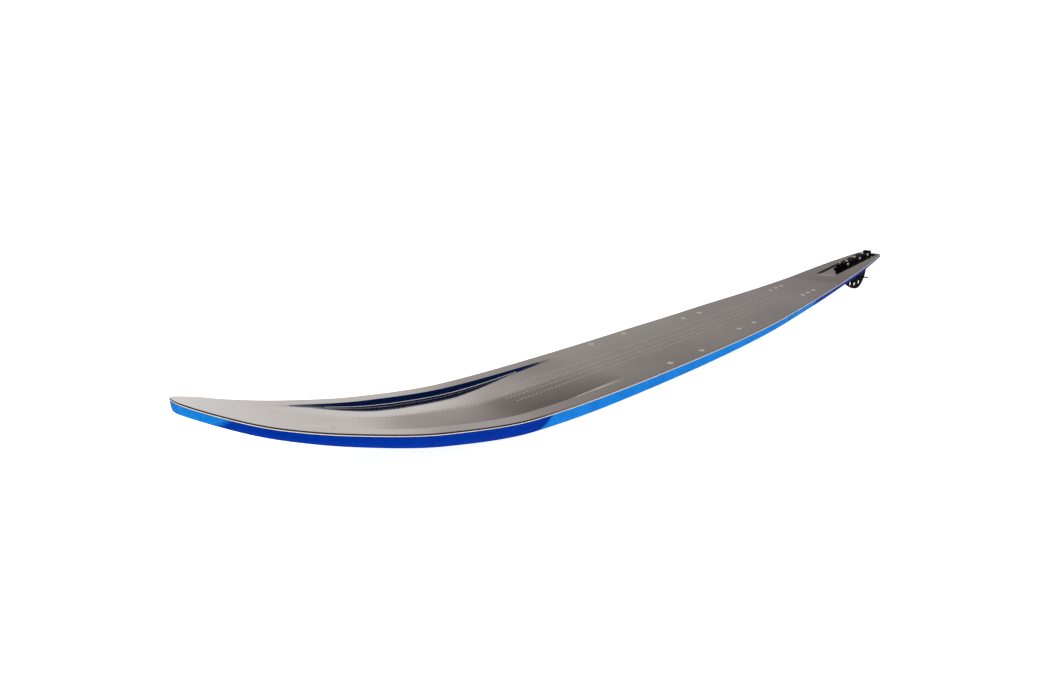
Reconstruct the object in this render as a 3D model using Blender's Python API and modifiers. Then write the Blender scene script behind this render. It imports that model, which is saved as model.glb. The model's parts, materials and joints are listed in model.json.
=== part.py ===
# Slalom water ski with an adjustable fin.
#
# The ski is a bonded sandwich: a deck skin and a base skin round a foam core, with a seam
# between the skins and hard blocks in the core for the binding inserts. A fin passes
# through the tail. Two clamp rails hold it, a carrier with three depth screws raises and
# lowers it, a thumb screw at the front moves it fore and aft, and a wing is bolted to it.
#
# Two working frames are used. In the ski frame, x runs from the tip to the tail, y across
# and z up, with the deck nearly level. In the tail frame, x runs forward from the tail end
# along the straight tail deck (so x is the distance from the tail), and z = 0 is the deck.

import math

import bmesh
import bpy
from mathutils import Matrix, Vector

MM = 0.001
GAP = 0.3 * MM                      # clearance between pieces that touch
BEYOND = 5 * MM                     # how far a cutter runs past what it cuts

# Driving sizes of the ski
LENGTH = 1702 * MM                  # 67 inches
MAX_HALF_WIDTH = 94.0 * MM
MAX_THICKNESS = 21.0 * MM
TIP_RISE = 132.0 * MM
TAIL_SLOPE = 0.041                  # the straight tail rises by this share of its run
TAIL_STRAIGHT = 310 * MM            # length of deck that is straight at the tail
NOSE_LENGTH = 50 * MM               # run of the rounded tip
NOSE_FLAT = 5 * MM                  # half width of the blunt end of the tip
TAIL_CORNER = 9 * MM                # radius of the tail's corners, seen from above

# Shares along the length, with the share of the greatest half width, tip rise or thickness
PLAN = ((0.0, 0.35), (0.04, 0.605), (0.08, 0.745), (0.14, 0.895), (0.22, 0.985), (0.31, 1.0),
        (0.45, 0.987), (0.58, 0.92), (0.70, 0.765), (0.80, 0.628), (0.90, 0.499), (1.0, 0.288))
RISE = ((0.0, 1.0), (0.015, 0.898), (0.04, 0.742), (0.08, 0.551), (0.14, 0.331), (0.22, 0.153),
        (0.32, 0.077), (0.45, 0.028), (0.58, 0.002), (0.70, 0.007))
TAIL_START_RISE = 0.039             # share of the tip rise where the straight tail begins
THICKNESS = ((0.0, 0.52), (0.03, 0.56), (0.09, 0.72), (0.18, 0.89), (0.30, 0.98), (0.41, 0.97),
             (0.53, 0.88), (0.65, 0.76), (0.76, 0.64), (0.88, 0.475), (0.97, 0.38), (1.0, 0.36))

# Skins, seam and edges
DECK_SKIN = 1.3 * MM
BASE_SKIN = 1.5 * MM
DECK_ABOVE_EDGE = 1.3 * MM          # deck surface above the edge line
DECK_EDGE_CHAMFER = 1.0 * MM
SKIN_TURN = (1.6 * MM, 0.6 * MM)    # its underside lies this far outside the channel's wall
SEAM_HEIGHT = 0.7 * MM
BEVEL_WIDTH = 7.5 * MM              # bevel between the side wall and the base
BEVEL_SHARE = 0.45                  # bevel's share of the side's height
TUNNEL_DEPTH = 3.5 * MM             # hollow along the base
TUNNEL_SHARE = 0.80                 # tunnel's share of the width between the bevels

# Sunk channel along the front deck, between two rims
CHANNEL_DEPTH = 7.5 * MM
CHANNEL_RIM = 22 * MM
CHANNEL_WALL = 7.5 * MM             # width that the sloping wall takes
CHANNEL_CROWN = 3.0 * MM            # the floor is higher along the middle
CHANNEL_FRONT = (0.105, 0.205)      # distances from the tip where it starts and is full
CHANNEL_REAR = (0.36, 0.585)        # where it starts to fade and ends
LEDGE_DEPTH = 0.52                  # a narrow ledge runs along the wall at this share

# Binding inserts: distance from the tail, and the spacing across the ski
INSERT_ROWS = ((1025.1 * MM, 153.5 * MM), (935.8 * MM, 153.5 * MM), (777.5 * MM, 113.3 * MM),
               (723.4 * MM, 113.3 * MM), (470.7 * MM, 71.3 * MM), (445.3 * MM, 71.3 * MM),
               (419.9 * MM, 71.3 * MM))
INSERT_RADIUS = 4.6 * MM
INSERT_BORE = 3.0 * MM
INSERT_LENGTH = 8.5 * MM
INSERT_FLOOR = 1.5 * MM             # thickness of the insert's closed end
INSERT_PROUD = 0.3 * MM
INSERT_SIDES = 12
BLOCK_DEPTH = 10.5 * MM             # hard block under the inserts
BLOCK_MARGIN = 12 * MM
INSERT_BLOCKS = (("front", 0, 2), ("heel", 2, 4), ("rear", 4, 7))

# Fin tray in the tail: distances from the tail end, half widths, heights from the deck
TRAY_FRONT = 284.5 * MM
TRAY_BACK = 11.0 * MM
TRAY_HALF_WIDTH = 22.5 * MM
TRAY_WALL = 1.3 * MM
TRAY_FLOOR = 1.6 * MM
POCKET_DEPTH = 3.2 * MM
RAMP_LENGTH = 30 * MM
STEM_HALF_WIDTH = 6 * MM
SLOT_CLEARANCE = 0.6 * MM

# Fin and its travel
FIN_THICKNESS = 2.0 * MM
FIN_FRONT = 190 * MM                # distances from the tail end
FIN_BACK = 19 * MM
FIN_SHOULDER = (177.5 * MM, -4.7 * MM)  # the top edge steps down here, under the lug
FIN_TOP = 4.7 * MM                  # heights from the deck
FIN_DEPTH = 77 * MM
FIN_DEEPEST = 65 * MM               # where the outline is deepest, from the tail end
FIN_REAR_TURN = 36 * MM             # depth at which the rear edge starts to round in
FIN_FRONT_TURN = 9 * MM
FORE_AFT_TRAVEL = 3.0 * MM          # each way
DEPTH_TRAVEL = 1.5 * MM             # each way
FIN_HOLE_RADIUS = 5.0 * MM
FIN_HOLES = ((61.5 * MM, 63 * MM), (89 * MM, 62 * MM), (116.5 * MM, 56 * MM))

# Clamp rails
RAIL_FRONT = 193 * MM
RAIL_BACK = 15 * MM
RAIL_FOOT = 13.2 * MM               # half width over the feet
RAIL_WALL = 8.0 * MM                # half width over the walls
RAIL_TOP = 8.4 * MM
FOOT_TOP = 0.6 * MM
RAIL_SHOULDER = (2.4 * MM, 3.4 * MM)  # slanted shoulder of each wall, across and down
FOOT_FRONT = (178 * MM, 185 * MM)   # the feet narrow to the walls between these
FOOT_REAR = (44 * MM, 17 * MM)      # and again at the back
NOSE_SLOPE = (166 * MM, 184 * MM)   # the walls slope down between these
NOSE_TOP = 3.4 * MM
HEAD_LENGTH = 16 * MM               # raised head at the back of each rail
HEAD_RISE = 2.0 * MM
HEAD_INSET = (0.2 * MM, 0.4 * MM)   # from the wall's inner and outer sides

# Screws that hold the rails and the bracket down
MOUNT_PLACES = (177 * MM, 114 * MM, 59 * MM)
MOUNT_OFFSET = 10.8 * MM
MOUNT_HEAD_RADIUS = 2.3 * MM
MOUNT_HEAD_HEIGHT = 1.5 * MM
MOUNT_SHANK = 1.4 * MM
MOUNT_DEPTH = 1.2 * MM              # reach into the tray's floor
MOUNT_SOCKET = (0.9 * MM, 0.8 * MM)  # radius and depth

# Clamp screws through the rails, with nuts on the far side
CLAMP_PLACES = (166.5 * MM, 93 * MM, 42 * MM)
CLAMP_HEIGHT = 3.7 * MM
CLAMP_SHANK = 1.75 * MM
CLAMP_HEAD_RADIUS = 3.6 * MM
CLAMP_HEAD_HEIGHT = 2.8 * MM
CLAMP_NUT_RADIUS = 3.9 * MM
CLAMP_NUT_HEIGHT = 3.0 * MM
CLAMP_SOCKET = (1.5 * MM, 1.3 * MM)
SPOT_FACE = 0.4 * MM                # depth of the flat seats in the walls
SPOT_MARGIN = 0.5 * MM              # room round a head or a nut in its seat

# Carrier and depth screws
CARRIER_HALF_WIDTH = 4.2 * MM
CARRIER_THICKNESS = 1.9 * MM
CARRIER_BACK = 36 * MM
LUG_BACK = 180 * MM
LUG_LENGTH = 7 * MM
LUG_BOTTOM = -1.7 * MM
LUG_TOP = 7.0 * MM
DEPTH_PLACES = (153.5 * MM, 106 * MM, 55 * MM)
DEPTH_SHANK = 1.5 * MM
DEPTH_HEAD_RADIUS = 3.2 * MM
DEPTH_HEAD_HEIGHT = 2.0 * MM
DEPTH_SOCKET = (1.2 * MM, 1.1 * MM)
DEPTH_SCREW_BOTTOM = -2.4 * MM
DEPTH_NUT_RADIUS = 2.4 * MM
DEPTH_NUT_HALF = 3.0 * MM
DEPTH_NUT_HEIGHT = 1.2 * MM

# Front bracket and thumb screw
BRACKET_LENGTH = 8 * MM
BRACKET_FOOT = 10.4 * MM            # half width over the feet
BRACKET_FOOT_TOP = -1.0 * MM
BRACKET_NECK = 4.6 * MM             # half width of the upright
BRACKET_TOP = 8.3 * MM
BRACKET_MOUNT = 7.6 * MM            # offset of the bracket's screws
THUMB_HEIGHT = 0.9 * MM
THUMB_SHANK = 1.8 * MM
THUMB_END = 181.2 * MM
THUMB_RADIUS = 3.4 * MM
THUMB_LENGTH = 7 * MM
THUMB_FLUTES = 12
FLUTE_DEPTH = 0.5 * MM
COLLAR_RADIUS = 2.9 * MM
COLLAR_LENGTH = 2.5 * MM

# Wing
WING_PIVOT = (104 * MM, -33.5 * MM)  # from the tail end, and height
WING_HALF_SPAN = 34 * MM
WING_ROOT_FRONT = 16 * MM
WING_ROOT_BACK = 23 * MM
WING_TIP_FRONT = -7 * MM            # ahead of the pivot, so this lies behind it
WING_TIP_CHORD = 8 * MM
WING_THICKNESS = 2.2 * MM
WING_TAB_HEIGHT = 9.5 * MM
WING_TAB_THICKNESS = 1.6 * MM
WING_REST_ANGLE = math.radians(8)
WING_SCREW_SPACING = 15 * MM
WING_SCREW_RADIUS = 1.5 * MM
WING_HEAD_RADIUS = 2.8 * MM
WING_HEAD_HEIGHT = 1.6 * MM
WING_SOCKET = (1.1 * MM, 0.8 * MM)
WING_NUT_HEIGHT = 1.8 * MM
WING_SWING = math.radians(8)        # most that it turns from rest, either way

# Values that follow from those above
BRACKET_BACK = RAIL_FRONT + GAP
BRACKET_FRONT = BRACKET_BACK + BRACKET_LENGTH
PLATE_FLOOR = -POCKET_DEPTH + GAP   # height of the rails' undersides
FIN_HALF = FIN_THICKNESS / 2
RAIL_INNER = FIN_HALF + GAP
GROOVE_FLOOR = RAIL_TOP - CARRIER_THICKNESS - GAP
THREAD_GAP = GAP                    # threads are left out, and a plain gap stands in

for old in list(bpy.data.objects):
    bpy.data.objects.remove(old, do_unlink=True)

parts = bpy.data.collections.new("slalom_water_ski")
cutters = bpy.data.collections.new("cutters")
for group in (parts, cutters):
    bpy.context.scene.collection.children.link(group)


# Finishes


def finish(name, colour, metallic, roughness, coat=0.0):
    """A Principled material for one sub-part."""
    material = bpy.data.materials.new(name)
    material.use_nodes = True
    shader = material.node_tree.nodes["Principled BSDF"]
    shader.inputs["Base Color"].default_value = (*colour, 1.0)
    shader.inputs["Metallic"].default_value = metallic
    shader.inputs["Roughness"].default_value = roughness
    shader.inputs["Coat Weight"].default_value = coat
    material.diffuse_color = (*colour, 1.0)
    return material


CARBON_DECK = ((0.21, 0.20, 0.19), 0.6, 0.35, 0.3)
BLUE_BASE = ((0.0, 0.13, 0.75), 0.6, 0.22, 1.0)
CREAM_SEAM = ((0.80, 0.72, 0.58), 0.0, 0.5, 0.0)
FOAM = ((0.86, 0.82, 0.66), 0.0, 0.9, 0.0)
HARD_BLOCK = ((0.35, 0.24, 0.13), 0.0, 0.7, 0.0)
BRASS = ((0.66, 0.50, 0.32), 1.0, 0.35, 0.0)
BLACK_ANODISED = ((0.015, 0.015, 0.017), 0.8, 0.38, 0.0)
STAINLESS = ((0.72, 0.71, 0.69), 1.0, 0.22, 0.0)
BLACK_STEEL = ((0.04, 0.04, 0.045), 0.9, 0.4, 0.0)


# Helpers


def add_object(name, mesh, parent, group=parts, look=None):
    """Link a mesh as a named object, under an empty, with its own material."""
    thing = bpy.data.objects.new(name, mesh)
    thing.parent = parent
    group.objects.link(thing)
    if look:
        mesh.materials.append(finish(name + "_finish", *look))
    if group is cutters:
        thing.hide_render = True
        thing.display_type = "WIRE"
    return thing


def to_mesh(name, bm):
    """Turn a bmesh into a mesh whose faces point outwards."""
    bmesh.ops.recalc_face_normals(bm, faces=bm.faces)
    mesh = bpy.data.meshes.new(name)
    bm.to_mesh(mesh)
    bm.free()
    return mesh


def add_box(bm, low, high):
    """A box between two corners."""
    size = [b - a for a, b in zip(low, high)]
    middle = [(a + b) / 2 for a, b in zip(low, high)]
    place = Matrix.Translation(middle) @ Matrix.Diagonal((*size, 1.0))
    bmesh.ops.create_cube(bm, size=1.0, matrix=place)


def add_cylinder(bm, radius, start, end, sides=16, top_radius=None):
    """A cylinder or cone between two points."""
    start, end = Vector(start), Vector(end)
    turn = (end - start).to_track_quat("Z", "Y").to_matrix().to_4x4()
    place = Matrix.Translation((start + end) / 2) @ turn
    bmesh.ops.create_cone(bm, cap_ends=True, segments=sides, radius1=radius,
                          radius2=radius if top_radius is None else top_radius,
                          depth=(end - start).length, matrix=place)


def solid(name, build, parent, group=parts, look=None):
    """An object from a function that adds primitives to a bmesh."""
    bm = bmesh.new()
    build(bm)
    return add_object(name, to_mesh(name, bm), parent, group, look)


def boolean(target, other, operation="DIFFERENCE"):
    """Cut, join or intersect with another object, exactly."""
    step = target.modifiers.new(operation.lower() + "_" + other.name, "BOOLEAN")
    step.operation = operation
    step.solver = "EXACT"
    step.object = other


def loft(name, sections, parent, group=parts, look=None, ring=False):
    """Skin a row of closed sections with the same number of points; a ring has no ends.

    Twisted faces are split here, always along the shorter diagonal, so that two lofts that
    lie a small gap apart are split alike and the gap stays even.
    """
    bm = bmesh.new()
    rows = [[bm.verts.new(point) for point in section] for section in sections]
    count = len(rows[0])
    for k in range(len(rows) if ring else len(rows) - 1):
        here, after = rows[k], rows[(k + 1) % len(rows)]
        for i in range(count):
            a, b, c, d = here[i], here[(i + 1) % count], after[(i + 1) % count], after[i]
            one, other = (a.co - c.co).length, (b.co - d.co).length
            even = abs(one - other) < 0.001 * MM
            split_ac = abs(a.co.y) < abs(b.co.y) if even else one < other
            if split_ac:
                bm.faces.new((a, b, c))
                bm.faces.new((a, c, d))
            else:
                bm.faces.new((a, b, d))
                bm.faces.new((b, c, d))
    if not ring:
        bm.faces.new(rows[0])
        bm.faces.new(rows[-1])
    return add_object(name, to_mesh(name, bm), parent, group, look)


def outline_prism(name, points, thickness, parent, place=None, group=parts, look=None):
    """A flat outline in x and y, filled and given a thickness along z, then placed."""
    curve = bpy.data.curves.new(name, "CURVE")
    curve.dimensions = "2D"
    curve.fill_mode = "BOTH"
    curve.extrude = thickness / 2
    spline = curve.splines.new("POLY")
    spline.points.add(len(points) - 1)
    for point, (x, y) in zip(spline.points, points):
        point.co = (x, y, 0.0, 1.0)
    spline.use_cyclic_u = True
    drawn = bpy.data.objects.new(name + "_outline", curve)
    bpy.context.scene.collection.objects.link(drawn)
    bpy.context.view_layer.update()
    mesh = bpy.data.meshes.new_from_object(drawn.evaluated_get(
        bpy.context.evaluated_depsgraph_get()))
    bpy.data.objects.remove(drawn, do_unlink=True)
    bm = bmesh.new()
    bm.from_mesh(mesh)
    bpy.data.meshes.remove(mesh)
    bmesh.ops.remove_doubles(bm, verts=bm.verts, dist=0.00001)
    bm.transform(place or Matrix())
    return add_object(name, to_mesh(name, bm), parent, group, look)


def turned(name, profile, parent, place, sides=16, look=None):
    """A turned piece: a profile of radius and height, spun round z by a Screw modifier."""
    mesh = bpy.data.meshes.new(name)
    points = [(radius, 0.0, height) for radius, height in profile]
    mesh.from_pydata(points, [(i, i + 1) for i in range(len(points) - 1)], [])
    thing = add_object(name, mesh, parent, parts, look)
    thing.matrix_local = place
    spin = thing.modifiers.new("spin", "SCREW")
    spin.steps = sides
    spin.render_steps = sides
    spin.use_merge_vertices = True
    spin.merge_threshold = 0.00002
    return thing


def smooth_between(table, at):
    """A monotone cubic through a table of (place, value) rows."""
    places = [row[0] for row in table]
    values = [row[1] for row in table]
    if at <= places[0]:
        return values[0]
    if at >= places[-1]:
        return values[-1]
    runs = [b - a for a, b in zip(places, places[1:])]
    slopes = [(b - a) / run for a, b, run in zip(values, values[1:], runs)]

    def tangent(k):
        if k in (0, len(places) - 1):
            return slopes[0] if k == 0 else slopes[-1]
        before, after = slopes[k - 1], slopes[k]
        return 0.0 if before * after <= 0 else 2 * before * after / (before + after)

    k = max(i for i in range(len(places) - 1) if places[i] <= at)
    t = (at - places[k]) / runs[k]
    return (values[k] * (1 + 2 * t) * (1 - t) ** 2 + values[k + 1] * t * t * (3 - 2 * t)
            + runs[k] * (tangent(k) * t * (1 - t) ** 2 - tangent(k + 1) * t * t * (1 - t)))


def ease(value):
    """Nought to one, with no slope at either end."""
    value = min(1.0, max(0.0, value))
    return value * value * (3 - 2 * value)


# Form of the ski, as functions of the distance from the tip


def half_width(s):
    """Half width of the outline, with the rounded tip and the tail's rounded corners."""
    plan = MAX_HALF_WIDTH * smooth_between(PLAN, s / LENGTH)
    if s < NOSE_LENGTH:
        left = 1 - s / NOSE_LENGTH
        plan = NOSE_FLAT + (plan - NOSE_FLAT) * math.sqrt(max(0.0, 1 - left * left))
    from_tail = LENGTH - s
    if from_tail < TAIL_CORNER:
        left = TAIL_CORNER - from_tail
        plan -= TAIL_CORNER - math.sqrt(TAIL_CORNER ** 2 - left * left)
    return plan


def edge_height(s):
    """Height of the deck's edge line: the rocker, straight along the tail."""
    start = LENGTH - TAIL_STRAIGHT
    low = TIP_RISE * TAIL_START_RISE
    if s >= start:
        return low + TAIL_SLOPE * (s - start)
    run = 0.02 * LENGTH
    rows = [(place * LENGTH, TIP_RISE * share) for place, share in RISE
            if place * LENGTH < start - 2 * run]
    rows += [(start - run, low - TAIL_SLOPE * run), (start, low)]
    return smooth_between(rows, s)


def deck_height(s):
    return edge_height(s) + DECK_ABOVE_EDGE


def thickness(s):
    return MAX_THICKNESS * smooth_between(THICKNESS, s / LENGTH)


def channel_depth(s):
    fade_in = ease((s - CHANNEL_FRONT[0]) / (CHANNEL_FRONT[1] - CHANNEL_FRONT[0]))
    fade_out = 1 - ease((s - CHANNEL_REAR[0]) / (CHANNEL_REAR[1] - CHANNEL_REAR[0]))
    return CHANNEL_DEPTH * fade_in * fade_out


def tunnel_depth(s):
    fade_in = ease((s / LENGTH - 0.05) / 0.2)
    fade_out = 1 - 0.6 * ease((s / LENGTH - 0.75) / 0.2)
    return TUNNEL_DEPTH * fade_in * fade_out


def outline_slope(s):
    step = 0.5 * MM
    low, high = max(0.0, s - step), min(LENGTH, s + step)
    return (half_width(high) - half_width(low)) / (high - low)


def inset_half_width(s, inset):
    """Half width of a line that lies inside the outline by the inset, square to it."""
    return half_width(s) - inset * math.sqrt(1 + outline_slope(s) ** 2)


def station_places(start, end):
    """Places along the ski: close together at the rounded tip and tail, wide between."""
    nose = [NOSE_LENGTH * share for share in (0, 0.05, 0.15, 0.32, 0.6, 1.0)]
    tail = [LENGTH - TAIL_CORNER * share for share in (1.0, 0.55, 0.2, 0)]
    steps = 28
    run = tail[0] - nose[-1]
    middle = [nose[-1] + run * (k / steps) ** 1.45 for k in range(1, steps)]
    inside = [s for s in nose + middle + tail if start + 1 * MM < s < end - 1 * MM]
    return [start] + inside + [end]


STATIONS = station_places(0.0, LENGTH)


def mirrored(half):
    """A full row from a half row that runs from the +y side to the middle."""
    return half + [(-y, z) for y, z in reversed(half[:-1])]


def wall_top(s):
    width = half_width(s)
    return max(width - CHANNEL_RIM, 0.35 * width)


def wall_foot(s):
    return max(wall_top(s) - CHANNEL_WALL, 0.6 * wall_top(s))


def floor_height(s, across):
    """Channel floor: crowned along the middle, and level with the deck elsewhere."""
    depth = channel_depth(s)
    crown = CHANNEL_CROWN * depth / CHANNEL_DEPTH
    share = min(1.0, abs(across) / wall_foot(s))
    return deck_height(s) - depth + crown * (1 - share * share)


def deck_top_half(s):
    """Deck surface from the +y edge to the middle, with the ledge on the channel's wall."""
    width, top, foot = half_width(s), wall_top(s), wall_foot(s)
    deck, depth = deck_height(s), channel_depth(s)
    run = top - foot
    chamfer = min(DECK_EDGE_CHAMFER, 0.2 * width)
    ledge = deck - depth * LEDGE_DEPTH
    return [(width, deck - chamfer), (width - chamfer, deck), (top, deck),
            (top - 0.40 * run, ledge), (top - 0.58 * run, ledge - 0.04 * depth),
            (foot, deck - depth), (0.55 * foot, floor_height(s, 0.55 * foot)),
            (0.0, floor_height(s, 0.0))]


def under_deck_half(s, drop, inset):
    """A simpler line under the deck surface, for the skin's underside and the core."""
    width = inset_half_width(s, inset) if inset else half_width(s)
    top = min(wall_top(s) + SKIN_TURN[0], 0.9 * width)
    foot = wall_foot(s) + SKIN_TURN[1] * channel_depth(s) / CHANNEL_DEPTH
    deck, depth = deck_height(s), channel_depth(s)
    return [(width, deck - drop), (top, deck - drop), (foot, deck - depth - drop),
            (0.5 * foot, floor_height(s, 0.5 * foot) - drop), (0.0, floor_height(s, 0) - drop)]


def base_half(s, inset):
    """Base surface from the middle to the top of the +y side, or a line inside it."""
    width = inset_half_width(s, inset) if inset else half_width(s)
    side = thickness(s) - DECK_SKIN
    low = edge_height(s) - thickness(s) + inset
    bevel = min(BEVEL_WIDTH, 0.5 * width) * thickness(s) / MAX_THICKNESS
    rise = side * BEVEL_SHARE
    flat = width - bevel
    tunnel = flat * TUNNEL_SHARE
    hollow = tunnel_depth(s)
    row = [(tunnel * share, low + hollow * (1 - share * share)) for share in (0, 0.6, 1.0)]
    row += [(flat, low), (width, low + rise)]
    if not inset:
        row.insert(-1, (width - 0.30 * bevel, low + 0.48 * rise))
    return row


def seam_top(s):
    return deck_height(s) - DECK_SKIN - GAP


def base_top(s):
    return seam_top(s) - SEAM_HEIGHT - GAP


# Frames


def empty(name, parent=None):
    frame = bpy.data.objects.new(name, None)
    frame.parent = parent
    parts.objects.link(frame)
    return frame


ski = empty("ski_frame")
tail = empty("tail_frame", ski)
tail.matrix_local = (Matrix.Translation((LENGTH, 0.0, deck_height(LENGTH)))
                     @ Matrix.Rotation(-math.atan(TAIL_SLOPE), 4, "Y"))


def from_tail(distance, across, height):
    """A point in the tail frame, given by its distance from the tail end."""
    return (-distance, across, height)


# Skins, core and seam


def hull_section(s, inset, top):
    """Closed section of the hull below the seam, or of the space inside the base skin."""
    half = base_half(s, inset)
    width = half[-1][0]
    half = half + [(width, top)]
    row = list(reversed(half))
    return [(s, y, z) for y, z in mirrored(row)]


def make_hull(name, inset, start, end, top, group, look=None):
    sections = [hull_section(s, inset, top(s)) for s in station_places(start, end)]
    return loft(name, sections, ski, group, look)


END_INSET = 7 * MM                  # the core stops this far from the tip and the tail


def make_base_skin():
    base = make_hull("base_skin", 0.0, 0.0, LENGTH, base_top, parts, BLUE_BASE)
    hollow = make_hull("base_hollow", BASE_SKIN, END_INSET, LENGTH - END_INSET,
                       lambda s: base_top(s) + BEYOND, cutters)
    boolean(base, hollow)
    return base


def make_deck_skin():
    sections = []
    for s in STATIONS:
        under = under_deck_half(s, DECK_SKIN, 0.0)
        top_row = mirrored(deck_top_half(s))
        under_row = mirrored(under)
        sections.append([(s, y, z) for y, z in top_row + list(reversed(under_row))])
    return loft("deck_skin", sections, ski, parts, CARBON_DECK)


def core_sections():
    inset = BASE_SKIN + GAP
    start, end = END_INSET + GAP, LENGTH - END_INSET - GAP
    sections = []
    for s in station_places(start, end):
        top_row = mirrored(under_deck_half(s, DECK_SKIN + GAP, inset))
        low_row = mirrored(list(reversed(base_half(s, inset))))
        sections.append([(s, y, z) for y, z in top_row + list(reversed(low_row))])
    return sections


def make_seam():
    """A thin strip of resin and glass round the whole outline, between the two skins."""
    rim = [(s, half_width(s)) for s in STATIONS]
    loop = rim + [(s, -y) for s, y in reversed(rim)]
    sections = []
    for k, (s, y) in enumerate(loop):
        before, after = loop[k - 1], loop[(k + 1) % len(loop)]
        along = Vector((after[0] - before[0], after[1] - before[1])).normalized()
        inward = Vector((along.y, -along.x))
        inner = Vector((s, y)) + inward * BASE_SKIN
        outer_top, inner_top = seam_top(s), seam_top(inner.x)
        sections.append([(s, y, outer_top), (s, y, outer_top - SEAM_HEIGHT),
                         (inner.x, inner.y, inner_top - SEAM_HEIGHT),
                         (inner.x, inner.y, inner_top)])
    return loft("edge_seam", sections, ski, parts, CREAM_SEAM, ring=True)


base_skin = make_base_skin()
deck_skin = make_deck_skin()
foam_core = loft("foam_core", core_sections(), ski, parts, FOAM)
edge_seam = make_seam()


# Binding inserts and the hard blocks under them


def insert_frame(from_end, across):
    """Frame of one insert: on the deck, square to it, with z up."""
    s = LENGTH - from_end
    step = 20 * MM
    slope = (deck_height(s + step) - deck_height(s - step)) / (2 * step)
    return (Matrix.Translation((s, across, deck_height(s)))
            @ Matrix.Rotation(-math.atan(slope), 4, "Y"))


def insert_places():
    for row, (from_end, spacing) in enumerate(INSERT_ROWS):
        for side, sign in (("left", -1), ("right", 1)):
            yield "insert_%d_%s" % (row + 1, side), insert_frame(from_end, sign * spacing / 2)


def make_insert(name, place):
    """A blind threaded insert, its collar just proud of the deck."""
    bottom = INSERT_PROUD - INSERT_LENGTH
    profile = [(0.0, bottom + INSERT_FLOOR), (INSERT_BORE, bottom + INSERT_FLOOR),
               (INSERT_BORE, INSERT_PROUD), (INSERT_RADIUS, INSERT_PROUD),
               (INSERT_RADIUS, bottom), (0.0, bottom)]
    return turned(name, profile, ski, place, INSERT_SIDES, BRASS)


def insert_holes(bm):
    for _, place in insert_places():
        start = place @ Vector((0, 0, BEYOND))
        end = place @ Vector((0, 0, INSERT_PROUD - INSERT_LENGTH - GAP))
        add_cylinder(bm, INSERT_RADIUS + GAP, start, end, INSERT_SIDES)


def block_limits(first, last):
    """Ends and half width of the block under a run of insert rows."""
    rows = INSERT_ROWS[first:last]
    front = LENGTH - rows[0][0] - BLOCK_MARGIN
    back = LENGTH - rows[-1][0] + BLOCK_MARGIN
    return front, back, max(spacing for _, spacing in rows) / 2 + BLOCK_MARGIN


def make_insert_blocks():
    for label, first, last in INSERT_BLOCKS:
        front, back, wide = block_limits(first, last)
        wide = min(wide, inset_half_width(back, BASE_SKIN) - 3 * MM)
        deck_low = min(deck_height(front), deck_height(back)) - DECK_SKIN - BLOCK_DEPTH
        roof = max(deck_height(front), deck_height(back)) + BEYOND
        block = loft("insert_block_" + label, core_sections(), ski, parts, HARD_BLOCK)
        trim = solid("trim_" + label, lambda bm: add_box(
            bm, (front, -wide, deck_low), (back, wide, roof)), ski, cutters)
        pocket = solid("pocket_" + label, lambda bm: add_box(
            bm, (front - GAP, -wide - GAP, deck_low - GAP), (back + GAP, wide + GAP, roof)),
            ski, cutters)
        boolean(block, trim, "INTERSECT")
        boolean(block, holes)
        boolean(foam_core, pocket)


holes = solid("insert_holes", insert_holes, ski, cutters)
make_insert_blocks()
boolean(deck_skin, holes)
for insert_name, insert_place in insert_places():
    make_insert(insert_name, insert_place)


# Fin tray: a moulded tray let into the tail, with a stem that lines the fin slot


SLOT_HALF = FIN_HALF + SLOT_CLEARANCE
SLOT_BACK = FIN_BACK - FORE_AFT_TRAVEL - SLOT_CLEARANCE
SLOT_FRONT = FIN_FRONT + FORE_AFT_TRAVEL + SLOT_CLEARANCE
STEM_BACK = SLOT_BACK - TRAY_WALL
STEM_FRONT = SLOT_FRONT + TRAY_WALL
TRAY_UNDERSIDE = -POCKET_DEPTH - TRAY_FLOOR
STEM_REACH = 2 * MAX_THICKNESS      # well below the base


def tail_box(bm, back, front, half, low, high):
    """A box in the tail frame between two distances from the tail end."""
    add_box(bm, (-front, -half, low), (-back, half, high))


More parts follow.
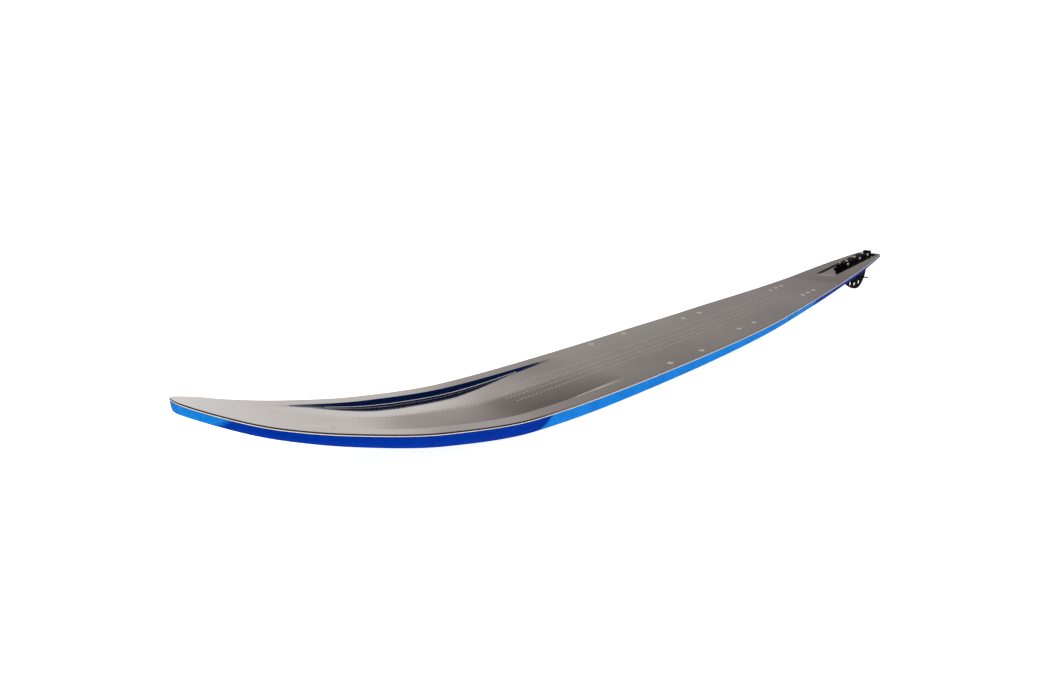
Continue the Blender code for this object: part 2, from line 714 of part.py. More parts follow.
def make_tray():
    tray = solid("fin_tray", lambda bm: tail_box(
        bm, TRAY_BACK, TRAY_FRONT, TRAY_HALF_WIDTH, TRAY_UNDERSIDE, 0.0), tail, parts,
        CARBON_DECK)
    stem = solid("tray_stem", lambda bm: tail_box(
        bm, STEM_BACK, STEM_FRONT, STEM_HALF_WIDTH, -STEM_REACH, TRAY_UNDERSIDE + GAP),
        tail, cutters)
    hull = make_hull("stem_trim", 0.0, 0.0, LENGTH, base_top, cutters)
    boolean(stem, hull, "INTERSECT")
    boolean(tray, stem, "UNION")
    back, front = TRAY_BACK + TRAY_WALL, TRAY_FRONT - TRAY_WALL
    floor_front = front - RAMP_LENGTH
    pocket_side = [(-back, BEYOND), (-front - BEYOND, BEYOND), (-front - BEYOND, GAP),
                   (-front, 0.0), (-floor_front, -POCKET_DEPTH), (-back, -POCKET_DEPTH)]
    pocket = outline_prism("tray_pocket", pocket_side, 2 * (TRAY_HALF_WIDTH - TRAY_WALL), tail,
                           Matrix.Rotation(math.pi / 2, 4, "X"), cutters)
    boolean(tray, pocket)
    slot = solid("fin_slot", lambda bm: tail_box(
        bm, SLOT_BACK, SLOT_FRONT, SLOT_HALF, -STEM_REACH, BEYOND), tail, cutters)
    boolean(tray, slot)
    seat = solid("tray_seat", lambda bm: tail_box(
        bm, TRAY_BACK - GAP, TRAY_FRONT + GAP, TRAY_HALF_WIDTH + GAP,
        TRAY_UNDERSIDE - GAP, BEYOND), tail, cutters)
    stem_seat = solid("stem_seat", lambda bm: tail_box(
        bm, STEM_BACK - GAP, STEM_FRONT + GAP, STEM_HALF_WIDTH + GAP, -STEM_REACH,
        TRAY_UNDERSIDE), tail, cutters)
    boolean(deck_skin, seat)
    boolean(foam_core, seat)
    boolean(foam_core, stem_seat)
    boolean(base_skin, stem_seat)
    boolean(base_skin, seat)
    return tray


fin_tray = make_tray()


# Clamp rails


def rail_profile(side):
    """Section of a rail across the ski: foot, wall and slanted shoulder."""
    edge, fillet = 0.5 * MM, 0.4 * MM
    across, down = RAIL_SHOULDER
    row = [(RAIL_INNER, PLATE_FLOOR), (RAIL_FOOT, PLATE_FLOOR), (RAIL_FOOT, FOOT_TOP - edge),
           (RAIL_FOOT - edge, FOOT_TOP), (RAIL_WALL + fillet, FOOT_TOP),
           (RAIL_WALL, FOOT_TOP + fillet), (RAIL_WALL, RAIL_TOP - down),
           (RAIL_WALL - across, RAIL_TOP), (RAIL_INNER, RAIL_TOP)]
    return [(side * y, z) for y, z in row]


def head_outline():
    """Side view of the raised head at the back of a rail, rounded over its top."""
    front, back = RAIL_BACK + HEAD_LENGTH, RAIL_BACK + HEAD_INSET[0]
    middle, half = (front + back) / 2, (front - back) / 2
    top = [(-(middle + half * math.cos(math.pi * k / 6)),
            RAIL_TOP + HEAD_RISE * math.sin(math.pi * k / 6) ** 0.6) for k in range(1, 6)]
    low = RAIL_TOP - RAIL_SHOULDER[1] - 1 * MM
    return [(-front, low)] + [(-front, RAIL_TOP)] + top + [(-back, RAIL_TOP), (-back, low)]


UPRIGHT = Matrix.Rotation(math.pi / 2, 4, "X")          # outline x, y to tail x, z
ACROSS = Matrix(((0, 0, 1, 0), (1, 0, 0, 0), (0, 1, 0, 0), (0, 0, 0, 1)))


def groove_cuts(bm):
    """Groove along the rails' tops, in which the carrier slides."""
    tail_box(bm, RAIL_BACK + HEAD_LENGTH + GAP, RAIL_FRONT + BEYOND,
             CARRIER_HALF_WIDTH + GAP, GROOVE_FLOOR, RAIL_TOP + BEYOND)


def lug_cuts(bm):
    """Channel at the front for the carrier's lug and the thumb screw."""
    tail_box(bm, LUG_BACK - FORE_AFT_TRAVEL - GAP, RAIL_FRONT + BEYOND,
             CARRIER_HALF_WIDTH + GAP, LUG_BOTTOM - GAP, GROOVE_FLOOR + 1 * MM)


def nut_cuts(bm):
    reach = DEPTH_NUT_RADIUS + FORE_AFT_TRAVEL + GAP
    for place in DEPTH_PLACES:
        tail_box(bm, place - reach, place + reach, DEPTH_NUT_HALF + GAP, PLATE_FLOOR - BEYOND,
                 DEPTH_NUT_HEIGHT + DEPTH_NUT_RADIUS + DEPTH_TRAVEL + GAP)


def depth_screw_cuts(bm):
    reach = DEPTH_SHANK + FORE_AFT_TRAVEL + GAP
    for place in DEPTH_PLACES:
        tail_box(bm, place - reach, place + reach, DEPTH_SHANK + GAP, PLATE_FLOOR - BEYOND,
                 GROOVE_FLOOR + 1 * MM)


def clamp_holes(bm):
    for place in CLAMP_PLACES:
        ends = [from_tail(place, side * (RAIL_FOOT + BEYOND), CLAMP_HEIGHT) for side in (-1, 1)]
        add_cylinder(bm, CLAMP_SHANK + GAP, ends[0], ends[1], 12)


def clamp_head_room(bm):
    """Round pockets in the feet and walls, which seat the heads and the nuts."""
    room = max(CLAMP_HEAD_RADIUS, CLAMP_NUT_RADIUS) + SPOT_MARGIN
    deep = max(CLAMP_HEAD_HEIGHT, CLAMP_NUT_HEIGHT) + 2 * SPOT_MARGIN
    for place in CLAMP_PLACES:
        for side in (-1, 1):
            add_cylinder(bm, room, from_tail(place, side * (RAIL_WALL - SPOT_FACE), CLAMP_HEIGHT),
                         from_tail(place, side * (RAIL_WALL + deep), CLAMP_HEIGHT), 16)


def mount_holes(bm):
    for place in MOUNT_PLACES:
        for side in (-1, 1):
            across = side * MOUNT_OFFSET
            add_cylinder(bm, MOUNT_SHANK + GAP, from_tail(place, across, PLATE_FLOOR - BEYOND),
                         from_tail(place, across, FOOT_TOP + BEYOND), 10)


def foot_taper(side, start, end, beyond):
    """Outline, seen from above, of what is cut off a foot where it narrows to the wall."""
    edge, outside = side * (RAIL_WALL + 0.2 * MM), side * (RAIL_FOOT + 1 * MM)
    return [(-start, outside), (-start, side * RAIL_FOOT), (-end, edge), (-beyond, edge),
            (-beyond, outside)]


def nose_outline():
    """Side view of what is cut off the walls' tops at the front."""
    high = RAIL_TOP + BEYOND
    return [(-NOSE_SLOPE[0], high), (-NOSE_SLOPE[0], RAIL_TOP), (-NOSE_SLOPE[1], NOSE_TOP),
            (-RAIL_FRONT - BEYOND, NOSE_TOP), (-RAIL_FRONT - BEYOND, high)]


rail_cutters = [solid(cut.__name__, cut, tail, cutters) for cut in (
    groove_cuts, lug_cuts, nut_cuts, depth_screw_cuts, clamp_holes, clamp_head_room,
    mount_holes)]
rail_cutters.append(outline_prism("nose_cut", nose_outline(), 4 * RAIL_FOOT, tail, UPRIGHT,
                                  cutters))


def make_rail(name, side):
    place = Matrix.Translation((-(RAIL_FRONT + RAIL_BACK) / 2, 0, 0)) @ ACROSS
    rail = outline_prism(name, rail_profile(side), RAIL_FRONT - RAIL_BACK, tail, place, parts,
                         BLACK_ANODISED)
    head_inner, head_outer = RAIL_INNER + HEAD_INSET[0], RAIL_WALL - HEAD_INSET[1]
    head_width = head_outer - head_inner
    head_middle = side * (head_inner + head_outer) / 2
    head = outline_prism(name + "_head", head_outline(), head_width, tail,
                         Matrix.Translation((0, head_middle, 0)) @ UPRIGHT, cutters)
    boolean(rail, head, "UNION")
    for label, reach, beyond in (("_front_taper", FOOT_FRONT, RAIL_FRONT + BEYOND),
                                 ("_rear_taper", FOOT_REAR, RAIL_BACK - BEYOND)):
        boolean(rail, outline_prism(name + label, foot_taper(side, *reach, beyond), 40 * MM,
                                    tail, None, cutters))
    for cutter in rail_cutters:
        boolean(rail, cutter)
    return rail


make_rail("clamp_rail_left", -1)
make_rail("clamp_rail_right", 1)


# Screws


def pan_screw(name, place, head_radius, head_height, shank_radius, shank_length, parent, look,
              socket):
    """A round-headed screw with a hexagon socket; z points out of the head's seat."""
    dome = [(head_radius, 0.0), (head_radius, head_height * 0.5),
            (head_radius * 0.75, head_height), (0.0, head_height)]
    shank = [(0.0, -shank_length), (shank_radius, -shank_length), (shank_radius, 0.0)]
    screw = turned(name, list(reversed(shank + dome)), parent, place, 12, look)

    def hexagon(bm):
        add_cylinder(bm, socket[0], (0, 0, head_height - socket[1]),
                     (0, 0, head_height + BEYOND), 6)

    hole = solid(name + "_socket", hexagon, parent, cutters)
    hole.matrix_local = place
    boolean(screw, hole)
    return screw


def mount_rows():
    """Each pair of mount screws: distance from the tail end, offset and seat height."""
    rows = [(place, MOUNT_OFFSET, FOOT_TOP) for place in MOUNT_PLACES]
    return rows + [(BRACKET_BACK + BRACKET_LENGTH / 2, BRACKET_MOUNT, BRACKET_FOOT_TOP)]


def make_mount_screws():
    """Screws down through the feet of the rails and the bracket, into the tray."""
    for number, (place, offset, seat_height) in enumerate(mount_rows(), 1):
        for label, side in (("left", -1), ("right", 1)):
            seat = Matrix.Translation(from_tail(place, side * offset, seat_height + GAP))
            length = seat_height + GAP + POCKET_DEPTH + MOUNT_DEPTH
            pan_screw("mount_screw_%d_%s" % (number, label), seat, MOUNT_HEAD_RADIUS,
                      MOUNT_HEAD_HEIGHT, MOUNT_SHANK, length, tail, BLACK_STEEL,
                      MOUNT_SOCKET)


def mount_thread_holes(bm):
    """Blind holes in the tray's floor for the mount screws' ends."""
    for place, offset, _ in mount_rows():
        for side in (-1, 1):
            add_cylinder(bm, MOUNT_SHANK + THREAD_GAP,
                         from_tail(place, side * offset, -POCKET_DEPTH - MOUNT_DEPTH - GAP),
                         from_tail(place, side * offset, 0.0), 10)


def make_clamp_screws():
    """Screws across both rails, with their heads on the left and nuts on the right."""
    seat_at = RAIL_WALL - SPOT_FACE + GAP
    length = 2 * seat_at + CLAMP_NUT_HEIGHT
    for number, place in enumerate(CLAMP_PLACES, 1):
        seat = (Matrix.Translation(from_tail(place, -seat_at, CLAMP_HEIGHT))
                @ Matrix.Rotation(math.pi / 2, 4, "X"))
        pan_screw("clamp_screw_%d" % number, seat, CLAMP_HEAD_RADIUS, CLAMP_HEAD_HEIGHT,
                  CLAMP_SHANK, length, tail, STAINLESS, CLAMP_SOCKET)

        def nut(bm):
            add_cylinder(bm, CLAMP_NUT_RADIUS, from_tail(place, seat_at, CLAMP_HEIGHT),
                         from_tail(place, seat_at + CLAMP_NUT_HEIGHT, CLAMP_HEIGHT), 6)

        def thread(bm):
            add_cylinder(bm, CLAMP_SHANK + THREAD_GAP,
                         from_tail(place, seat_at - BEYOND, CLAMP_HEIGHT),
                         from_tail(place, seat_at + CLAMP_NUT_HEIGHT + BEYOND, CLAMP_HEIGHT),
                         12)

        piece = solid("clamp_nut_%d" % number, nut, tail, parts, STAINLESS)
        boolean(piece, solid("clamp_nut_thread_%d" % number, thread, tail, cutters))


make_mount_screws()
boolean(fin_tray, solid("mount_threads", mount_thread_holes, tail, cutters))
make_clamp_screws()


# Carrier, depth screws and depth nuts


CARRIER_TOP = RAIL_TOP
CARRIER_LOW = CARRIER_TOP - CARRIER_THICKNESS


def carrier_body(bm):
    tail_box(bm, CARRIER_BACK, LUG_BACK + 0.3 * LUG_LENGTH, CARRIER_HALF_WIDTH, CARRIER_LOW,
             CARRIER_TOP)


def carrier_lug(bm):
    tail_box(bm, LUG_BACK, LUG_BACK + LUG_LENGTH, CARRIER_HALF_WIDTH - 0.2 * MM, LUG_BOTTOM,
             LUG_TOP)


def carrier_holes(bm):
    for place in DEPTH_PLACES:
        add_cylinder(bm, DEPTH_SHANK + GAP, from_tail(place, 0, CARRIER_LOW - BEYOND),
                     from_tail(place, 0, CARRIER_TOP + BEYOND), 16)


def lug_thread(bm):
    add_cylinder(bm, THUMB_SHANK + THREAD_GAP,
                 from_tail(LUG_BACK - BEYOND, 0, THUMB_HEIGHT),
                 from_tail(LUG_BACK + LUG_LENGTH + BEYOND, 0, THUMB_HEIGHT), 16)


def make_carrier():
    carrier = solid("depth_carrier", carrier_body, tail, parts, BLACK_ANODISED)
    boolean(carrier, solid("carrier_lug", carrier_lug, tail, cutters), "UNION")
    boolean(carrier, solid("carrier_holes", carrier_holes, tail, cutters))
    boolean(carrier, solid("lug_thread", lug_thread, tail, cutters))
    return carrier


def make_depth_screws():
    for number, place in enumerate(DEPTH_PLACES, 1):
        seat = Matrix.Translation(from_tail(place, 0, CARRIER_TOP + GAP))
        length = CARRIER_TOP + GAP - DEPTH_SCREW_BOTTOM
        pan_screw("depth_screw_%d" % number, seat, DEPTH_HEAD_RADIUS, DEPTH_HEAD_HEIGHT,
                  DEPTH_SHANK, length, tail, STAINLESS, DEPTH_SOCKET)

        def nut(bm):
            add_cylinder(bm, DEPTH_NUT_RADIUS,
                         from_tail(place, -DEPTH_NUT_HALF, DEPTH_NUT_HEIGHT),
                         from_tail(place, DEPTH_NUT_HALF, DEPTH_NUT_HEIGHT), 12)

        def thread(bm):
            add_cylinder(bm, DEPTH_SHANK + THREAD_GAP,
                         from_tail(place, 0, DEPTH_NUT_HEIGHT - BEYOND),
                         from_tail(place, 0, DEPTH_NUT_HEIGHT + BEYOND), 12)

        piece = solid("depth_nut_%d" % number, nut, tail, parts, BRASS)
        boolean(piece, solid("depth_nut_thread_%d" % number, thread, tail, cutters))


make_carrier()
make_depth_screws()


# Front bracket and thumb screw


def bracket_profile():
    """Front view of the bracket: flat feet and an upright with a round top."""
    turn = BRACKET_TOP - BRACKET_NECK
    half = [(BRACKET_FOOT, PLATE_FLOOR), (BRACKET_FOOT, BRACKET_FOOT_TOP),
            (BRACKET_NECK, BRACKET_FOOT_TOP)]
    head = [(BRACKET_NECK * math.cos(math.pi / 2 * k / 5),
             turn + BRACKET_NECK * math.sin(math.pi / 2 * k / 5)) for k in range(6)]
    row = half + head
    return row + [(-y, z) for y, z in reversed(row[:-1])]


def make_bracket():
    middle = (BRACKET_BACK + BRACKET_FRONT) / 2
    bracket = outline_prism("front_bracket", bracket_profile(), BRACKET_LENGTH, tail,
                            Matrix.Translation((-middle, 0, 0)) @ ACROSS, parts,
                            BLACK_ANODISED)

    def bore(bm):
        add_cylinder(bm, THUMB_SHANK + GAP, from_tail(BRACKET_BACK - BEYOND, 0, THUMB_HEIGHT),
                     from_tail(BRACKET_FRONT + BEYOND, 0, THUMB_HEIGHT), 16)

    def screw_holes(bm):
        for side in (-1, 1):
            across = side * BRACKET_MOUNT
            add_cylinder(bm, MOUNT_SHANK + GAP,
                         from_tail(middle, across, PLATE_FLOOR - BEYOND),
                         from_tail(middle, across, BRACKET_FOOT_TOP + BEYOND), 10)

    boolean(bracket, solid("bracket_bore", bore, tail, cutters))
    boolean(bracket, solid("bracket_screw_holes", screw_holes, tail, cutters))
    return bracket


def fluted_circle(radius, depth, flutes):
    """Outline of a grip with rounded flutes."""
    points = []
    for k in range(flutes * 3):
        angle = 2 * math.pi * k / (flutes * 3)
        reach = radius - depth * (0.5 + 0.5 * math.cos(flutes * angle))
        points.append((reach * math.cos(angle), reach * math.sin(angle)))
    return points


def make_thumb_screw():
    knob_back = BRACKET_FRONT + GAP
    middle = knob_back + THUMB_LENGTH / 2
    place = Matrix.Translation((-middle, 0, THUMB_HEIGHT)) @ ACROSS
    grip = fluted_circle(THUMB_RADIUS, FLUTE_DEPTH, THUMB_FLUTES)
    screw = outline_prism("thumb_screw", grip,
                          THUMB_LENGTH, tail, place, parts, BLACK_ANODISED)

    def shank(bm):
        add_cylinder(bm, THUMB_SHANK, from_tail(THUMB_END, 0, THUMB_HEIGHT),
                     from_tail(knob_back + 1 * MM, 0, THUMB_HEIGHT), 16)

    boolean(screw, solid("thumb_shank", shank, tail, cutters), "UNION")

    def collar(bm):
        add_cylinder(bm, COLLAR_RADIUS, from_tail(RAIL_FRONT - COLLAR_LENGTH, 0, THUMB_HEIGHT),
                     from_tail(RAIL_FRONT, 0, THUMB_HEIGHT), 16)

    def collar_bore(bm):
        add_cylinder(bm, THUMB_SHANK + GAP,
                     from_tail(RAIL_FRONT - COLLAR_LENGTH - BEYOND, 0, THUMB_HEIGHT),
                     from_tail(RAIL_FRONT + BEYOND, 0, THUMB_HEIGHT), 16)

    ring = solid("thumb_collar", collar, tail, parts, STAINLESS)
    boolean(ring, solid("collar_bore", collar_bore, tail, cutters))


make_bracket()
make_thumb_screw()


# Fin


def bezier(points, steps):
    """Points along one cubic Bezier curve, without its last point."""
    a, b, c, d = [Vector(point) for point in points]
    row = []
    for k in range(steps):
        t = k / steps
        row.append(a * (1 - t) ** 3 + b * 3 * t * (1 - t) ** 2 + c * 3 * t * t * (1 - t)
                   + d * t ** 3)
    return [(point.x, point.y) for point in row]


def fin_outline():
    """Side view of the blade: stepped top, and a deep rounded belly nearer the back."""
    front = (-FIN_FRONT, -FIN_FRONT_TURN)
    deepest = (-FIN_DEEPEST, -FIN_DEPTH)
    rear = (-FIN_BACK, -FIN_REAR_TURN)
    run_front = FIN_FRONT - FIN_DEEPEST
    run_back = FIN_DEEPEST - FIN_BACK
    drop = FIN_DEPTH - FIN_REAR_TURN
    shoulder, step = FIN_SHOULDER
    outline = [(-shoulder, FIN_TOP), (-shoulder, step), (-FIN_FRONT, step)]
    outline += bezier((front, (front[0], front[1] - 0.30 * FIN_DEPTH),
                       (deepest[0] - 0.36 * run_front, deepest[1]), deepest), 13)
    outline += bezier((deepest, (deepest[0] + 0.55 * run_back, deepest[1]),
                       (rear[0], rear[1] - 0.5 * drop), rear), 8)
    return outline + [rear, (-FIN_BACK, FIN_TOP)]


def clamp_notches(bm):
    """Open notches in the fin's top edge, which clear the clamp screws as it moves."""
    reach = CLAMP_SHANK + FORE_AFT_TRAVEL + GAP
    low = CLAMP_HEIGHT - CLAMP_SHANK - DEPTH_TRAVEL - GAP
    for place in CLAMP_PLACES:
        tail_box(bm, place - reach, place + reach, BEYOND, low, FIN_TOP + BEYOND)


def nut_holes(bm):
    for place in DEPTH_PLACES:
        add_cylinder(bm, DEPTH_NUT_RADIUS + GAP, from_tail(place, -BEYOND, DEPTH_NUT_HEIGHT),
                     from_tail(place, BEYOND, DEPTH_NUT_HEIGHT), 12)


def screw_slits(bm):
    """Upright slits, which let the depth screws stand in the fin's plane."""
    low = DEPTH_SCREW_BOTTOM - DEPTH_TRAVEL - GAP
    for place in DEPTH_PLACES:
        tail_box(bm, place - DEPTH_SHANK - GAP, place + DEPTH_SHANK + GAP, BEYOND, low,
                 FIN_TOP + BEYOND)


def round_holes(bm):
    for place, depth in FIN_HOLES:
        add_cylinder(bm, FIN_HOLE_RADIUS, from_tail(place, -BEYOND, -depth),
                     from_tail(place, BEYOND, -depth), 16)


def wing_pivot_hole(bm):
    place, height = WING_PIVOT
    add_cylinder(bm, WING_SCREW_RADIUS + GAP, from_tail(place, -BEYOND, height),
                 from_tail(place, BEYOND, height), 16)


def wing_slot_outline():
    """Curved slot for the rear wing screw, round the pivot."""
    radius = WING_SCREW_RADIUS + GAP
    place, height = WING_PIVOT

    def around(angle, reach):
        return Vector((-place + reach * math.cos(angle), height + reach * math.sin(angle)))

    points = []
    for swing, half_turn, rail in ((WING_SWING, 0.0, -radius), (-WING_SWING, math.pi, radius)):
        angle = swing - WING_REST_ANGLE
        centre = around(angle, WING_SCREW_SPACING)
        for k in range(6):
            turn = angle + half_turn + math.pi * k / 5
            points.append(centre + radius * Vector((math.cos(turn), math.sin(turn))))
        points.append(around(-WING_REST_ANGLE, WING_SCREW_SPACING + rail))
    return [(point.x, point.y) for point in points]


def make_fin():
    fin = outline_prism("fin", fin_outline(), FIN_THICKNESS, tail, UPRIGHT, parts,
                        BLACK_ANODISED)
    for cut in (clamp_notches, nut_holes, screw_slits, round_holes, wing_pivot_hole):
        boolean(fin, solid(cut.__name__, cut, tail, cutters))
    slot = outline_prism("wing_slot", wing_slot_outline(), 2 * BEYOND, tail, UPRIGHT, cutters)
    boolean(fin, slot)
    return fin


make_fin()


# Wing, in a frame at its pivot: x rearwards, turned to the wing's angle


wing_frame = empty("wing_frame", tail)
wing_frame.matrix_local = (Matrix.Translation(from_tail(WING_PIVOT[0], 0, WING_PIVOT[1]))
                           @ Matrix.Rotation(WING_REST_ANGLE, 4, "Y"))


def wing_plan(side):
    """Half of the swept plan, from the fin out to a narrow tip."""
    root = FIN_HALF + GAP
    tip_front = -WING_TIP_FRONT
    row = [(-WING_ROOT_FRONT, root), (-0.35 * WING_ROOT_FRONT, 0.45 * WING_HALF_SPAN),
           (tip_front, 0.93 * WING_HALF_SPAN), (tip_front + 0.35 * WING_TIP_CHORD,
                                                WING_HALF_SPAN),
           (tip_front + WING_TIP_CHORD, 0.98 * WING_HALF_SPAN),
           (WING_ROOT_BACK - 3 * MM, 0.5 * WING_HALF_SPAN), (WING_ROOT_BACK, root)]
    return [(x, side * y) for x, y in row]


def make_wing_half(name, side):
    """A swept blade with a tab that lies against the fin."""
    low = -WING_TAB_HEIGHT / 2 - WING_THICKNESS
    blade = outline_prism(name, wing_plan(side), WING_THICKNESS, wing_frame,
                          Matrix.Translation((0, 0, low + WING_THICKNESS / 2)), parts,
                          BLACK_ANODISED)
    inner = FIN_HALF + GAP
    reach = (-WING_ROOT_FRONT / 2, WING_ROOT_BACK - 1 * MM)

    def tab(bm):
        sides = sorted((side * inner, side * (inner + WING_TAB_THICKNESS)))
        add_box(bm, (reach[0], sides[0], low + 0.4 * MM), (reach[1], sides[1],
                                                          WING_TAB_HEIGHT / 2))

    def bores(bm):
        for x in (0.0, WING_SCREW_SPACING):
            add_cylinder(bm, WING_SCREW_RADIUS + GAP, (x, side * FIN_HALF, 0),
                         (x, side * (inner + WING_TAB_THICKNESS + BEYOND), 0), 16)

    boolean(blade, solid(name + "_tab", tab, wing_frame, cutters), "UNION")
    boolean(blade, solid(name + "_bores", bores, wing_frame, cutters))
    return blade


def make_wing_screws():
    outer = FIN_HALF + GAP + WING_TAB_THICKNESS + GAP
    for label, x in (("front", 0.0), ("rear", WING_SCREW_SPACING)):
        seat = Matrix.Translation((x, -outer, 0)) @ Matrix.Rotation(math.pi / 2, 4, "X")
        pan_screw("wing_screw_" + label, seat, WING_HEAD_RADIUS, WING_HEAD_HEIGHT,
                  WING_SCREW_RADIUS, 2 * outer + WING_NUT_HEIGHT, wing_frame, BLACK_STEEL,
                  WING_SOCKET)

        def nut(bm):
            add_cylinder(bm, WING_HEAD_RADIUS, (x, outer, 0),
                         (x, outer + WING_NUT_HEIGHT, 0), 6)

        def thread(bm):
            add_cylinder(bm, WING_SCREW_RADIUS + THREAD_GAP, (x, outer - FIN_HALF, 0),
                         (x, outer + WING_NUT_HEIGHT + BEYOND, 0), 12)

        piece = solid("wing_nut_" + label, nut, wing_frame, parts, BLACK_STEEL)
        boolean(piece, solid("wing_nut_thread_" + label, thread, wing_frame, cutters))


make_wing_half("wing_left", -1)
make_wing_half("wing_right", 1)
make_wing_screws()


# Resting pose: the ski stands on its fin and on the base under the front foot


def side_view_points():
    """All solid corners in side view, in the ski frame."""
    bpy.context.view_layer.update()
    graph = bpy.context.evaluated_depsgraph_get()
    points = []
    for thing in parts.objects:
        if thing.type == "MESH":
            seen = thing.evaluated_get(graph)
            mesh = seen.to_mesh()
            points += [seen.matrix_world @ vertex.co for vertex in mesh.vertices]
            seen.to_mesh_clear()
    return points


def support_angle(points):
    """Slope angle of the line under the lowest corners, before and behind the balance."""
    balance = 0.5 * LENGTH
    rear = min((p for p in points if p.x > balance), key=lambda p: p.z)
    for _ in range(4):
        front = max((p for p in points if p.x < balance),
                    key=lambda p: (rear.z - p.z) / (rear.x - p.x))
        rear = min((p for p in points if p.x > balance),
                   key=lambda p: (p.z - front.z) / (p.x - front.x))
    return math.atan2(rear.z - front.z, rear.x - front.x)


corners = side_view_points()
pitch = Matrix.Rotation(support_angle(corners), 4, "Y")
turned_corners = [pitch @ corner for corner in corners]
lowest = min(corner.z for corner in turned_corners)
ends = [min(corner.x for corner in turned_corners), max(corner.x for corner in turned_corners)]
ski.matrix_local = Matrix.Translation((-sum(ends) / 2, 0.0, -lowest)) @ pitch

for thing in parts.objects:
    if thing.type == "MESH":
        thing.data.shade_smooth()
        thing.data.set_sharp_from_angle(angle=math.radians(32))
bpy.context.view_layer.update()
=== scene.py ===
# %% [markdown]
# # A slalom water ski
#
# This lesson dresses a finished CAD model of a water ski: one ski for both feet, with a fin
# under its tail. The CAD model is loaded as a fixed frame, and every piece made here goes
# where that frame says. Some CAD pieces only get a finish. Others are replaced by a finer
# piece of the same size and in the same place.

# %% Load the frame
import json
import math

import bmesh
import bpy
from mathutils import Matrix, Vector

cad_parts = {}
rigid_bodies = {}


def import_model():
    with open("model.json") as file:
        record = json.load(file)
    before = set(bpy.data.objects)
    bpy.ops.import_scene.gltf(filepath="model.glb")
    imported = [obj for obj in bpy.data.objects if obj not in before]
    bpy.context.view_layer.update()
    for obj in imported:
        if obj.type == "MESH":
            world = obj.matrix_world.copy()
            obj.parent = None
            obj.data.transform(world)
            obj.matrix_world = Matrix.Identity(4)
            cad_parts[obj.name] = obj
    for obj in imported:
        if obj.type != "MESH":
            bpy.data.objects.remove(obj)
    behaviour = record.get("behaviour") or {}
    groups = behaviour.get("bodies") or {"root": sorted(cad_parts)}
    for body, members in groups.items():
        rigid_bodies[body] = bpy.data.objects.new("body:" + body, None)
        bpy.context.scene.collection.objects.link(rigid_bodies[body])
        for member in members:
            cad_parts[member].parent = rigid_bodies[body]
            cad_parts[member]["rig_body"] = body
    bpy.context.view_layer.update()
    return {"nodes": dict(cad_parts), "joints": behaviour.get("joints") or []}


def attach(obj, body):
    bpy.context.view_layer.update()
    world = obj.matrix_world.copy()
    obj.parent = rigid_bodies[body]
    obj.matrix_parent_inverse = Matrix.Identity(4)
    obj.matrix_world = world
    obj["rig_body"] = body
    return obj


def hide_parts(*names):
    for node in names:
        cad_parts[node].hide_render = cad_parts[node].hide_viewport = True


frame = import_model()
MM = 0.001

# %% [markdown]
# ## Two working frames
#
# A ski maker measures from the tip, and a fin fitter from the tail. Both frames are worked
# out from the joints in the record, so nothing has to be fitted by eye. The tail frame has
# its x axis along the fin's sliding direction, and the ski frame has its origin at the tip.

# %% Working frames
LENGTH, MAX_HALF_WIDTH, MAX_THICKNESS = 1702 * MM, 94.0 * MM, 21.0 * MM
TIP_RISE, DECK_ABOVE_EDGE = 132.0 * MM, 1.3 * MM
TAIL_SLOPE, TAIL_STRAIGHT = 0.041, 310 * MM     # the last stretch is straight
TAIL_START_RISE = 0.039                 # height where it starts, as a share of the tip's
WING_PIVOT = (104 * MM, -33.5 * MM)     # from the tail end, and height above the deck
END_HEIGHT = TIP_RISE * TAIL_START_RISE + TAIL_SLOPE * TAIL_STRAIGHT + DECK_ABOVE_EDGE

joints = {joint["name"]: joint for joint in frame["joints"]}
rearward = Vector(joints["fin_fore_aft"]["axis"]).normalized()
upward = Vector(joints["fin_depth"]["axis"]).normalized()
TAIL = Matrix((rearward, (0, 1, 0), upward)).transposed().to_4x4()
TAIL.translation = (Vector(joints["wing_angle"]["pos_m"]) + rearward * WING_PIVOT[0]
                    - upward * WING_PIVOT[1])
SKI = TAIL @ (Matrix.Translation((LENGTH, 0, END_HEIGHT))
              @ Matrix.Rotation(-math.atan(TAIL_SLOPE), 4, "Y")).inverted()
print("tail end at", [round(value, 4) for value in TAIL.translation])
print("tip at", [round(value, 4) for value in SKI.translation])

# %% [markdown]
# ## Form of the ski
#
# A ski's shape follows three curves along its length: half width, rocker and thickness. Each
# is a short table, joined by a cubic that never overshoots, which is how a shaper's batten
# bends. These are the rules that the CAD follows too, so the finer skins made here lie where
# its skins lie.

# %% Curves along the length
PLAN = ((0.0, 0.35), (0.04, 0.605), (0.08, 0.745), (0.14, 0.895), (0.22, 0.985), (0.31, 1.0),
        (0.45, 0.987), (0.58, 0.92), (0.70, 0.765), (0.80, 0.628), (0.90, 0.499), (1.0, 0.288))
RISE = ((0.0, 1.0), (0.015, 0.898), (0.04, 0.742), (0.08, 0.551), (0.14, 0.331), (0.22, 0.153),
        (0.32, 0.077), (0.45, 0.028), (0.58, 0.002), (0.70, 0.007))
THICKNESS = ((0.0, 0.52), (0.03, 0.56), (0.09, 0.72), (0.18, 0.89), (0.30, 0.98), (0.41, 0.97),
             (0.53, 0.88), (0.65, 0.76), (0.76, 0.64), (0.88, 0.475), (0.97, 0.38), (1.0, 0.36))
NOSE_LENGTH, NOSE_FLAT, TAIL_CORNER = 50 * MM, 5 * MM, 9 * MM


